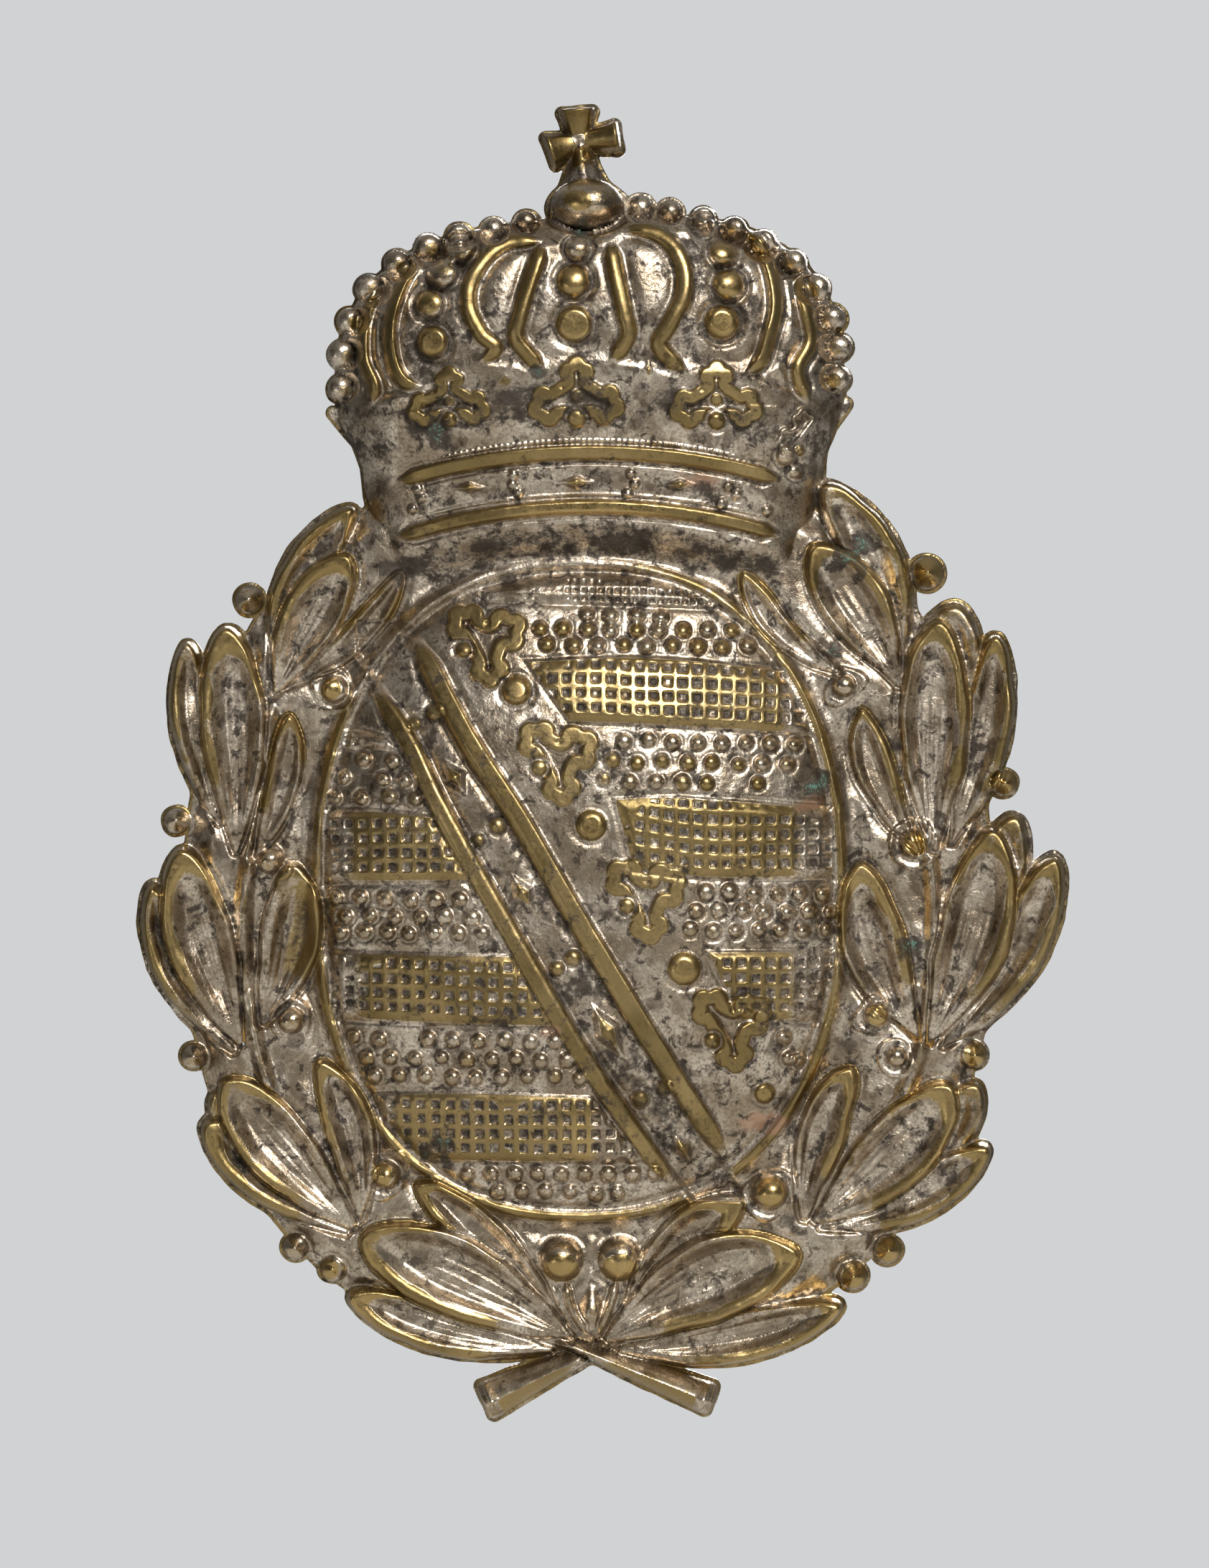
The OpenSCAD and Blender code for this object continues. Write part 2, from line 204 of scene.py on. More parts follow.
# ---- the drawing
# leaves: base, tip, bow to the left, half width, height factor; a later leaf lies over an earlier one
LEAVES = [
    ((-20.5, -23), (-27.8, -15.4), 0.2, 1.6, 0.5), ((24.2, 8), (27.4, 21), -0.1, 2.7, 0.5),
    ((28.4, -6), (31.7, 5.3), 0.1, 1.9, 0.5), ((24, -22), (28.8, -14.6), -0.1, 1.6, 0.5),
    ((-23.4, 15.5), (-17.6, 28.2), 1.2, 1.6, 0.8), ((-22.7, 14.9), (-13.9, 23.4), -1, 1, 0.7),
    ((-23.4, 14.2), (-17.8, 24.6), 0.4, 2.1, 1), ((-27.3, 4.5), (-29.8, 18.1), 0.7, 1.3, 0.8),
    ((-24.8, 2.2), (-22.1, 12.9), -0.6, 1.2, 0.8), ((-26.1, 2.4), (-26.8, 19.3), -0.2, 2.3, 1),
    ((-26.2, -12.2), (-32.4, 0.2), 1, 1.6, 0.8), ((-24.3, -10.2), (-21.7, 1.9), -0.8, 2.2, 1),
    ((-25.6, -11.8), (-30.2, 2.8), 0.6, 2.4, 1), ((-17.6, -25.6), (-28.4, -17.4), 0.1, 2.1, 0.8),
    ((-17, -24.8), (-19.8, -12.8), -0.9, 1.7, 1), ((-17.2, -25.2), (-27.1, -14.1), 0.3, 2.5, 1),
    ((-2.4, -34.2), (-17.6, -30.2), 0.6, 1.7, 0.8), ((-1.8, -32.4), (-12.8, -21.8), -0.6, 1.5, 0.9),
    ((-1, -33.4), (-16.8, -25.7), -0.4, 2.8, 1), ((23, 15.6), (17.6, 29.9), -1.5, 1.9, 0.8),
    ((18.6, 16), (11.4, 23.5), 0.9, 1, 0.7), ((23.2, 15), (16.6, 25.5), -0.4, 2.4, 1),
    ((26.8, 3), (30.2, 18.7), -0.8, 1.6, 0.8), ((24.6, 2.6), (20.2, 13.4), 0.8, 1.3, 0.8),
    ((25.6, 2.6), (25.9, 19.9), 0.2, 2.5, 1), ((26, -12), (34.7, 2.3), -1, 2, 0.8),
    ((24.6, -11.2), (20, 2), 1, 2.3, 1), ((25, -11.8), (30, 4.3), -0.9, 2.6, 1),
    ((16.8, -25.2), (29.5, -19.3), -0.9, 1.7, 0.8), ((15.9, -24.7), (19.4, -13.1), 0.7, 1.7, 1),
    ((16.4, -24.8), (26.9, -14.7), -0.6, 2.6, 1), ((2, -34.2), (18.6, -30.9), -0.8, 1.7, 0.8),
    ((2.6, -32.4), (11.1, -22.9), 0.8, 2, 0.9), ((1, -33.6), (15.5, -26.8), 0.9, 2.9, 1),
]
WORN_LEAVES = (11,)  # the silvering has gone from their whole inner half
# berries: centre, radius, level of the ground under it
BERRIES = [
    ((-25.2, 21.5), 1.05, 0.6), ((-30.6, 5.1), 0.9, 0.6), ((-23.6, 2.1), 0.85, 1.4),
    ((-22, -9.7), 0.85, 1.4), ((-29.3, -12.4), 0.9, 0.6), ((-21.8, -26.6), 0.9, 0.6),
    ((-19, -28.2), 0.9, 0.6), ((-15, -21.1), 0.95, 1.4), ((25.1, 23.5), 1.2, 0.6),
    ((30.8, 7.9), 0.95, 0.6), ((24.1, 3.4), 1, 1.6), ((21.3, -9.3), 0.85, 1.4),
    ((28.6, -12.3), 0.95, 0.6), ((13.4, -22.4), 1.2, 1.4), ((22.2, -26.8), 1, 0.6),
    ((19.6, -28.7), 1.05, 0.6), ((-2, -27.4), 1.5, 1.4), ((2.3, -27.4), 1.5, 1.4),
]
INNER_BERRIES = [((-18.8, 14.8), 0.9, 1.5), ((18.9, 15.1), 0.75, 1.5), ((22.8, -12.4), 0.7, 1.4)]
# rounded ovals: centre, half width and height, power of their curve
PLATE = ([0, -1.2], [29.6, 33.4], 2.25)
SHIELD = ([-0.7, 0], [19.6, 24.35], 2.3)
CROWN = ([0.2, 36.4], [18.4, 13.1], 2.9)
TILT = 4  # how far the crown leans, in degrees
FOOT = (-19, 35.4, -17.1, 33.2, -16.4, 31.4, -16.2, 29.2, -14.5, 22, 14.5, 22, 16.9, 30.2,
        17.2, 32.6, 17.9, 34.4, 19.1, 36.1)
BEAD_R = 1.12  # the beads' places go down the left side, then the right
BEADS = [[-4.6, 49.4], [-7, 48.8], [-9.6, 48.4], [-11.9, 47.6], [-14.2, 46.4], [-16.3, 44.6],
         [-17.7, 42.2], [-18.3, 39.7], [-18.4, 37.2], [3.9, 50.6], [6.1, 50.3], [8.5, 49.7],
         [10.8, 48.9], [13, 47.9], [15.2, 46.5], [16.9, 44.6], [18.1, 42.4], [18.6, 40.2], [18.5, 37.9]]
# height up the badge and the share of the crown's rise there, then and half its width lower down
CROWN_LINE = (21, 0.16, 23, 0.18, 24.6, 0.2, 26, 0.4, 27.4, 0.56, 30, 0.6, 32.5, 0.68, 35.5, 0.81,
              38, 0.89, 42, 1, 46, 0.92, 49, 0.65, 51, 0.32, 54, 0)
CROWN_HALF = (22, 14.8, 23, 15, 26, 15.6, 30, 16.6, 32, 17.2, 35.8, 18.5, 38, 18.4)
ORB = ([-0.1, 50.6], [2.4, 1.7])
CROSS = [-0.7, 55.5]
# the cross's arms: direction, length, half width at the end
ARMS = [[94, 2.2, 1.1], [8, 2.75, 0.9], [199, 2.2, 1.05], [283, 1.6, 0.6]]
NECK = [[-0.6, 54.6], [-0.3, 51.6]]
STEMS = [[[1, -33.9], [-7.5, -37.9], 1.2], [[-1.9, -33.5], [8.9, -37.8], 0.95]]


def leaf_width(t):
    """A leaf's half width along its length, as a share of its greatest."""
    t = np.clip(t, 0, 1)
    return np.sin(math.pi * t**1.33) ** (0.66 - 0.1 * smooth(0.5, 0.9, t))


def leaf_axes(leaf, x, z):
    """How far along a leaf a point is, from 0 at its base to 1, and how far left of its middle."""
    base, tip, bow = np.array(leaf[0]), np.array(leaf[1]), leaf[2]
    length = np.hypot(*(tip - base))
    ex, ez = (tip - base) / length
    t = ((x - base[0]) * ex + (z - base[1]) * ez) / length
    return t, (z - base[1]) * ex - (x - base[0]) * ez - 4 * bow * t * (1 - t)


def leaf_outline(leaf):
    base, tip, bow, half = np.array(leaf[0]), np.array(leaf[1]), leaf[2], leaf[3]
    t = np.concatenate([np.linspace(0.02, 0.9, 16), [0.94, 0.97, 0.99, 0.998]])
    wide = half * leaf_width(t)
    ahead = tip - base
    across = np.array([-ahead[1], ahead[0]]) / np.hypot(*ahead)
    middle = base + t[:, None] * ahead + (4 * bow * t * (1 - t))[:, None] * across
    return np.vstack([middle + wide[:, None] * across, (middle - wide[:, None] * across)[::-1]])


def silhouette():
    """Distance inside the badge's cut edge."""
    s = oval_inside(*PLATE)
    top = oval_inside(*CROWN, TILT)
    s = joined(s, np.where(Z > 35.6, top, -9))
    shapes = [leaf_outline(l) for l in LEAVES] + [FOOT]
    for angle, length, half in ARMS:
        arm = np.array([[0, -0.4], [length, -half], [length, half], [0, 0.4]])
        x, z = turned(arm[:, 0], arm[:, 1], (0, 0), angle)
        shapes.append(np.stack([x + CROSS[0], z + CROSS[1]], 1))
    for base, tip, half in STEMS:
        ahead = np.subtract(tip, base) / np.hypot(*np.subtract(tip, base))
        n = np.array([-ahead[1], ahead[0]]) * half
        shapes.append([base + n * 0.25, base - n * 0.25, tip - n * 0.9, tip + n])
    for shape in shapes:
        w = window(shape, 3)
        s[w] = joined(s[w], inside(shape, w))
    circles = [(c, r - 0.32) for c, r, _ in BERRIES] + [(p, BEAD_R - 0.5) for p in BEADS]
    for centre, r in circles:
        w, far = around(centre, r + 3)
        s[w] = joined(s[w], r - far, 0.15)
    w = window([ORB[0]], 5)
    far = oval(X[w], Z[w], ORB[0], ORB[1], 2)
    s[w] = joined(s[w], (1 - far) * ORB[1][1])
    w = window(NECK, 3)
    reach, share, _ = along(NECK, w)
    s[w] = joined(s[w], 0.55 + 1.1 * share - reach)
    return s + EDGE + 0.1 * (noise(0.9, 1) - 0.5) + 0.12 * (noise(3.1, 2) - 0.5)


# ---- struck details
def paint(channel, w, value):
    """Raises a channel to a value wherever it's lower."""
    channel[w] = np.maximum(channel[w], value)


def ridge(points, half, height, brass=1, flat=0.45, taper=0.1, groove=0.1):
    """A raised line that thins out at its ends, with a groove along each side."""
    path = curve(points)
    w = window(path, half * 3.5)
    d, share, _ = along(path, w)
    ends = smooth(0, taper, share) * smooth(0, taper, 1 - share)
    v = d / (half * (0.35 + 0.65 * ends))
    H[w] += height * ends**0.7 * smooth(1.2, flat, v)
    H[w] -= groove * ends * bell(v - 1.5, 0.35)
    paint(BRASS, w, brass * ends**0.4 * smooth(1.15, 0.95, v))
    # painted shade along the grooves beside the line
    paint(GRIME_AND_SHADE, w, 0.3 * ends * bell(v - 1.4, 0.25))


def ball(centre, r, rise=0.9, brass=0.5, flat=2, worn=(0, 0), rubbed_and_sheen=0):
    """A round stud. flat cuts its top off, and worn moves the patch of bare brass on it."""
    w = window([centre], r * 2)
    x, z = X[w] - centre[0], Z[w] - centre[1]
    v = np.hypot(x, z) / r
    H[w] += rise * r * np.minimum(dome(v), flat)
    H[w] -= 0.12 * min(1, r) * bell(v - 1.25, 0.2)
    patch = np.hypot(x / r - worn[0], z / r - worn[1])
    reach = 0.6 + 0.3 * min(1, brass) ** 2
    paint(BRASS, w, brass * smooth(reach + 0.3, reach, patch) * (v < 1.08))
    paint(RUBBED_AND_SHEEN, w, rubbed_and_sheen * smooth(0.95, 0.6, v))
    # painted shade in the groove round the stud's foot
    paint(GRIME_AND_SHADE, w, 0.5 * bell(v - 1.17, 0.2))


def lozenge(centre, direction, long, wide, rise=0.35, brass=0.8):
    """A four-cornered pyramid, long in a direction given in degrees."""
    w = window([centre], long * 1.5)
    x, z = turned(X[w] - centre[0], Z[w] - centre[1], (0, 0), -direction)
    v = np.abs(x) / long + np.abs(z) / wide
    H[w] += rise * np.clip(1.1 - v, 0, 1)
    paint(BRASS, w, brass * smooth(0.75, 0.4, v))
    # painted shade round the pyramid's foot
    paint(GRIME_AND_SHADE, w, 0.5 * bell(v - 1.3, 0.3))


def lobe_line(turn, out, r):
    """The scalloped outer line of one lobe: three bumps, narrowing to the clover's middle."""
    phi = np.radians(np.linspace(114, -114, 39))
    reach = r * (0.84 + 0.26 * np.abs(np.cos(2.25 * phi)) ** 0.8)
    return turned(out + reach * np.cos(phi), reach * np.sin(phi), (0, 0), turn)


def trefoil(centre, lobes, stud, stud_r, ribbon=0.72, rise=0.45, brass=1):
    """A clover of flat ribbon: lobes (turn, distance, radius), with a round stud in the gap."""
    lines = [np.stack(lobe_line(*lobe), 1)[::-1] for lobe in sorted(lobes)]
    outline = np.vstack(lines) + centre
    w = window(outline, 0.8)
    d = inside(outline, w)
    gap = np.hypot(X[w] - stud[0], Z[w] - stud[1])
    shut = smooth(stud_r * 1.15, stud_r * 1.6, gap)
    band = smooth(-0.1, 0.12, d) * smooth(ribbon + 0.16, ribbon - 0.1, d)
    H[w] += rise * band * shut - 0.12 * smooth(ribbon, ribbon + 0.3, d)
    paint(BRASS, w, brass * smooth(0.15, 0.5, band) * shut)
    # painted shade in the sunk middle and along the groove round the outline
    paint(GRIME_AND_SHADE, w, 0.42 * smooth(ribbon, ribbon + 0.3, d) + 0.62 * bell(d + 0.18, 0.2))
    ball(stud, stud_r, 0.8, 0.9)
    for lobe in sorted(lobes)[1:]:
        pin = np.radians(lobe[0] - 52)
        ball(centre + 1.3 * np.array([np.cos(pin), np.sin(pin)]), 0.2, -1.2, 0, flat=0.6)


def pitted_bar(top, bottom, shine, seed, brass=1, pitch=1.07, solid=0.6):
    """A cushioned bar between two curves, with square pits in rows. shine fades it at its ends."""
    w = window([*top, *bottom], 1)
    x, z = X[w], Z[w]
    top, bottom = curve(top), curve(bottom)
    zt, zb = np.interp(x, *top.T), np.interp(x, *bottom.T)
    up = (z - zb) / (zt - zb)
    x0 = bottom[0][0] + up * (top[0][0] - bottom[0][0])
    x1 = bottom[-1][0] + up * (top[-1][0] - bottom[-1][0])
    rho = oval(x, z, *SHIELD)
    d = np.minimum(np.minimum(z - zb, zt - z), np.minimum(x - x0, x1 - x))
    d = np.minimum(d, (0.976 - rho) * 20)
    H[w] += 0.45 * smooth(-0.1, 0.9, d) ** 0.7 - 0.1 * bell(d + 0.15, 0.18)
    u = (x + 0.15 * (noise(3, seed, w) - 0.5)) / pitch
    v = (z - zb - solid + 0.12 * (noise(2.5, seed + 1, w) - 0.5)) / pitch
    cell = np.maximum(np.abs(u % 1 - 0.5), np.abs(v % 1 - 0.5)) * pitch
    luck = noise(1.9, seed + 2, w) + 0.25 * smooth(0.1, 1.6, d)
    room = smooth(-0.05, 0.05, v) * smooth(0.15, 0.3, zt - z) * smooth(0.05, 0.4, d)
    wide = pitch * (0.23 + 0.085 * noise(4, seed + 3, w))
    pit = smooth(wide + 0.07, wide - 0.06, cell) * room * smooth(0.2, 0.45, luck)
    H[w] -= 0.3 * pit
    fade = smooth(shine[0], shine[0] + 2.5, x) * smooth(-shine[1], -shine[1] + 2.5, -x)
    body = brass * smooth(0.02, 0.25, d) * (0.25 + 0.75 * fade)
    BRASS[w] = np.where(d > 0, np.maximum(BRASS[w], body) * (1 - 0.95 * smooth(0.25, 0.6, pit)), BRASS[w])
    # painted shade in the pits and along the groove round the bar
    paint(GRIME_AND_SHADE, w, 0.72 * pit + 0.4 * bell(d + 0.12, 0.16) * (rho < 0.97))


def dots(start, end, brass, seed):
    """A row of small studs."""
    rng = np.random.default_rng(seed)
    count = max(1, int(round(math.dist(start, end) / 1.82)))
    for t in np.linspace(0, 1, count + 1):
        size, wear, luck = rng.uniform(0.9, 1.08), rng.random(), rng.random()
        place = np.array(start) + t * np.subtract(end, start) + rng.uniform(-0.1, 0.1, 2)
        if luck > 0.03 and oval(*place, *SHIELD) < 0.955:
            ball(place, 0.58 * size, 1.1, brass * (0.5 + wear), worn=(0.1, -0.1), rubbed_and_sheen=0.35)


def lay_leaf(leaf, number):
    """One leaf: a broad fold round its edge, a hollow inside with fine veins, and an outer flank."""
    base, tip, _, half, factor = leaf
    outline = leaf_outline(leaf)
    w = window(outline, 1.5)
    d = inside(outline, w) + FULL + 0.34 * (noise(2.3, 460 + number, w) - 0.5)
    t, s = leaf_axes(leaf, X[w], Z[w])
    near_tip = smooth(0.45, 0.95, t)
    crest = LEAF_RISE * factor * (0.5 + 0.5 * smooth(0, 0.55, t)) * (1 + 0.08 * near_tip)
    crest = crest * (0.9 + 0.2 * noise(3.4, 500 + number, w))
    flank = np.clip(1 - (1 - np.clip(d, 0, 0.6) / 0.6) ** 2, 0, 1) ** 0.8
    room = half * leaf_width(t) + FULL - np.abs(s)
    ahead = (1 - t) * math.dist(base, tip) + FULL
    small = min(1, half / 2.2)
    share = s / (half * leaf_width(t) + 0.05)
    outward = np.sign(base[0] + tip[0]) * -np.sign(tip[1] - base[1] + 0.1)
    facing = smooth(-0.5, 0.4, share * outward)
    side = (0.5 + 0.4 * facing) * (0.5 + 0.5 * small)
    hollow = smooth(0.85 * side, side + 1.3 * small, room) * smooth(1 * small, 4.2 * small, ahead)
    level = crest * (1 - (0.2 + 0.32 * small) * hollow * smooth(0.02, 0.35, t))
    for vein in (-0.55, -0.25, 0.05, 0.3, 0.6):
        line = bell((share - vein) * half, 0.17)
        level += 0.1 * line * smooth(0.85, 0.4, t) * smooth(0.02, 0.1, t)
    height = level * flank
    under = H[w] * smooth(0.6, -0.1, d)
    groove = 0.11 * bell(d + 0.2, 0.25) * smooth(0, 0.2, t)
    H[w] = np.where(d > 0, np.maximum(under, height), H[w] - groove)
    keep = smooth(0.15, 0, d)
    for channel in (BRASS, GRIME_AND_SHADE, RUBBED_AND_SHEEN):
        channel[w] *= keep
    # the fold has worn bare on the side that faces out, and round the tip
    patchy = 0.5 + 1 * noise(4.5, 300 + number, w)
    worn = np.clip(np.maximum(facing, 0.75 * near_tip) * patchy + 0.35 * near_tip, 0, 1)
    band = smooth(-0.1, 0.15, d) * smooth(0.42, 0, hollow + 0.4 * (noise(1.7, 420 + number, w) - 0.5))
    if number in WORN_LEAVES:
        band = smooth(0, 0.25, d) * np.maximum(smooth(-0.4, 0.1, -share * outward), near_tip)
        worn = 0.75 + 0.4 * (patchy - 1)
    paint(BRASS, w, band * smooth(0.1, 0.45, t) * worn * min(1, factor + 0.1))
    paint(RUBBED_AND_SHEEN, w, 0.4 * band * near_tip * smooth(0.3, 0.7, noise(3.2, 380 + number, w)))
    # painted shade along the seam round the leaf and inside its hollow
    seam = 0.58 * bell(d + 0.12, 0.22) * smooth(0.05, 0.3, t)
    shade = 0.34 * smooth(0.5, 1, hollow) * smooth(0.15, 0.5, t) * (0.5 + noise(1.8, 340 + number, w))
    paint(GRIME_AND_SHADE, w, shade + seam)


# ---- the relief
S = silhouette()
H[:] = GROUND * smooth(0.25, 2.3, S) + 0.22 * (noise(2.4, 3) - 0.5) * smooth(0.6, 2, S)
# the lower posts' feet lie under this ground, so it stays clear of them
for side in (-1, 1):
    w, far = around((side * LOWER_POST[0], LOWER_POST[1]), CLEAR)
    clear = (GROUND + 0.06) * smooth(CLEAR, CLEAR - 0.5, far)
    H[w] = np.where(far < CLEAR, np.maximum(H[w], clear), H[w])

shield = oval(X, Z, *SHIELD)
shield_in = oval_inside(*SHIELD)
H[:] = np.where(shield < 1, GROUND + SHIELD_RISE * (1 - shield**2.8), H)
H -= 0.25 * bell(shield_in + 1.1, 0.7) * (S > 1.5)


# two cut twigs that cross below the wreath, flaring to their ends
for base, tip, half in STEMS:
    w = window([base, tip], 2.5)
    d, share, left = along(np.array([base, tip]), w)
    flare = half * (0.25 + 0.75 * share**1.3) + FULL
    lower = left / flare if tip[0] < base[0] else -left / flare
    facet = 1.1 + 0.75 * np.clip(1 - np.abs(lower - 0.1) / 0.75, 0, 1)
    end = smooth(0.9, 0.97, share) * (0.35 - 0.5 * smooth(0.97, 1, share))
    height = (0.5 + facet * 0.8 + end) * dome(d / flare, 0.45)
    H[w] = np.where(d < flare, np.maximum(H[w] * 0.3, height), H[w])
    worn = smooth(0.15, 0.4, share) * smooth(-0.1, 0.25, lower) * smooth(0.95, 0.9, share)
    BRASS[w] = np.where(d < flare, 0.95 * worn, BRASS[w])
    # painted shade along the stem's sides
    paint(GRIME_AND_SHADE, w, 0.4 * bell(d - flare, 0.2))

# the wreath's branches, and the leaves over them
for path in ((-17.8, -24.9, -22.5, -17.6, -24.8, -10.4, -25.6, -3, -25, 3.2, -23.4, 14),
             (16.8, -24.6, 22, -17.6, 24.8, -11, 25.6, -3.4, 25.2, 3, 23.4, 14.6)):
    ridge(path, 0.7, 0.7, brass=0.12, flat=0.1, taper=0.03, groove=0)
for number, leaf in enumerate(LEAVES):
    lay_leaf(leaf, number)


def crown_surface():
    """The crown's domed body without its details: 0 outside it."""
    middle, (half_wide, half_high), n = CROWN
    share = smooth(31, 37, Z)
    x, z = turned(X, Z, middle, -TILT * share)
    bow = 2.3 * ((X - middle[0]) / 14) ** 2 * (1 - share)
    up = 1 - (np.clip(z - middle[1], 0, half_high + FULL) / (half_high + FULL)) ** n
    upper = half_wide * np.maximum(up, 0) ** (1 / n)
    half = np.where(z < middle[1] - 0.5, np.interp(z, *curve(CROWN_HALF).T), upper)
    v = np.abs(x - middle[0]) / (half + FULL)
    rise = np.interp(z + bow, *curve(CROWN_LINE).T)
    return np.where((v < 1) & on_crown, CROWN_RISE * rise * (1 - np.clip(v, 0, 1) ** 3) ** 0.65, 0)


on_crown = Z > 22.5
crown = crown_surface()
over_crown = 1 - smooth(0, 0.8, crown - H) * on_crown
H[:] = np.where(on_crown, np.maximum(H, crown), H)
BRASS *= over_crown
GRIME_AND_SHADE *= over_crown

# the orb and the cross on it
w = window([ORB[0]], 4)
far = oval(X[w], Z[w], ORB[0], np.add(ORB[1], FULL * 0.8), 2)
H[w] *= 1 - 0.35 * bell(far - 1.08, 0.16)
H[w] = np.where(far < 1, 2.2 + 2.9 * dome(far, 0.5), H[w])
BRASS[w] *= smooth(0.95, 1.05, far)
paint(BRASS, w, 0.7 * smooth(0.9, 0.4, oval(X[w], Z[w], (-0.8, 50.7), (1.9, 1.4), 2)))
# the orb is polished and painted lighter as a painted sheen; painted shade in the groove round it and
# towards its edge
paint(RUBBED_AND_SHEEN, w, 0.7 * smooth(0.95, 0.6, far))
paint(GRIME_AND_SHADE, w, 0.6 * bell(far - 1.05, 0.1) + 0.12 * smooth(0.75, 0.95, far) * (far < 1))

w = window([CROSS], 5)
neck, share, left = along(np.array(NECK), w)
H[w] = np.maximum(H[w], 2.1 * smooth(0.95 + 1.6 * share**1.5, 0.1, neck))
for angle, length, half in ARMS:
    u, v = turned(X[w] - CROSS[0], Z[w] - CROSS[1], (0, 0), -angle)
    end = length + FULL
    edge = 0.75 + (half + FULL - 0.75) * np.clip(u / end, 0, 1) ** 1.2 - np.abs(v)
    d = np.minimum(np.minimum(edge, end - u), u + 0.3)
    curl = 1.3 + 1.3 * np.clip(u / end, 0, 1) ** 2 - 0.45 * (v / half) ** 2
    curl -= 0.7 * smooth(0.85, 1, u / end)
    H[w] = np.where(d > 0, np.maximum(H[w], curl * smooth(-0.2, 0.35, d)), H[w])
    paint(BRASS, w, smooth(-0.05, 0.12, d) * smooth(0.2, 0.6, u) * (1 - 0.5 * smooth(0.88, 0.97, u / end)))
    # painted shade along the arms' edges
    paint(GRIME_AND_SHADE, w, 0.35 * bell(d - 0.02, 0.1))

# berries, each on its own low pad
PADDED = [b for b in BERRIES if b[2] > 1.3 and b[1] < 1.4] + INNER_BERRIES
for centre, r, level in PADDED:
    w, far = around(centre, r + 2)
    H[w] += 0.3 * smooth(r + 0.85, r + 0.55, far + 0.9 * (noise(1.6, 11, w) - 0.5))
for centre, r, level in BERRIES + INNER_BERRIES:
    w, far = around(centre, r + 1)
    v = far / r
    H[w] = np.where(v < 1.15, np.minimum(H[w], level + 0.5 * smooth(1, 1.4, v) + 0.3), H[w])
    side = -0.35 if centre[0] < 0 else 0.1
    drop = -0.5 if r > 1.4 else 0.05
    bare_patch = 0.42 if centre[0] < -20 or r < 0.8 else 0.72
    # berries are polished and painted lighter, a painted sheen
    ball(centre, r + 0.08, 0.9, bare_patch, worn=(side * (r < 1.4), drop), rubbed_and_sheen=0.75)
for x, lean in ((-1.7, 0.12), (2.1, -0.18)):
    ridge((x, -28.8, x + lean * 3, -30.8, 0.3 + x * 0.2, -33), 0.3, 0.6, 0.05, taper=0.2)
ridge((0.25, -29.2, 0.25, -31.2, 0.3, -33.4), 1, 0.8, 0.1, flat=0.1, taper=0.5, groove=0)

# beads round the crown's edge
PALE = np.ones_like(X)  # where the silvering has lasted on raised metal
for number, place in enumerate(BEADS):
    w, far = around(place, BEAD_R * 1.6)
    size = BEAD_R * (0.78 + 0.18 * smooth(6, 12, abs(place[0]))) * (1.04 if number % 2 else 0.96)
    v = far / size
    level = max(0.5, float(H[window([place], STEP)].mean()) * 0.62)
    H[w] = np.where(v < 1, level + 0.95 * dome(v), np.minimum(H[w], level + 0.7 * v**3))
    off = np.hypot(X[w] - place[0] * 0.98, Z[w] - place[1] + 0.2) / BEAD_R
    bare_top = 0.7 * smooth(4, 15, abs(place[0])) * (0.8 + 0.35 * (number % 3 == 0))
    BRASS[w] *= smooth(0.9, 1.1, v)
    PALE[w] *= smooth(1, 1.25, v)
    paint(BRASS, w, bare_top * smooth(0.7, 0.25, off))
    paint(RUBBED_AND_SHEEN, w, 0.3 * smooth(0.9, 0.5, v))
    # painted shade in the groove round each bead
    paint(GRIME_AND_SHADE, w, 0.5 * bell(v - 1.05, 0.14))

# ---- the crown
# the arches' edges from left to right: half width, height, brass, then x and z in turn
EDGES = [
    (0.48, 0.45, 0.75, (-15.6, 44.4, -16.5, 42.1, -16.6, 39.2, -15.8, 37.2, -16, 35.7)),
    (0.5, 0.5, 0.8, (-12.5, 46.8, -13.9, 44.2, -14.6, 41.5, -14.4, 39, -13.6, 37.4, -12.1, 36.8)),
    (0.58, 0.65, 1, (-3.3, 47.6, -5.7, 47.6, -7.4, 46.5, -8.6, 44.5, -8.7, 42.6, -7.8, 40.7,
                     -6.8, 39.7, -8, 38.5)),
    (0.58, 0.65, 1, (-3.3, 47.4, -4.3, 44.5, -5, 42.1, -5.3, 40.5, -4.3, 39.1, -3.2, 38)),
    (0.58, 0.65, 1, (1.6, 47.5, 2.1, 44.9, 2.7, 42.1, 2.9, 40.5, 1.7, 38.6)),
    (0.62, 0.7, 1, (2.4, 48.3, 4.1, 48.5, 5.9, 47.5, 6.9, 45.6, 6.9, 43.5, 5.9, 41.4, 5.2, 39.8,
                    7.3, 37.7)),
    (0.52, 0.55, 0.85, (11.5, 49, 13.2, 46.3, 13.8, 43.1, 13.3, 40.7, 12.7, 38.9, 11.5, 37.8)),
    (0.5, 0.5, 0.8, (15.4, 45.6, 16.1, 42.6, 16.4, 40.4, 15.4, 38.3, 16.2, 35.8)),
]
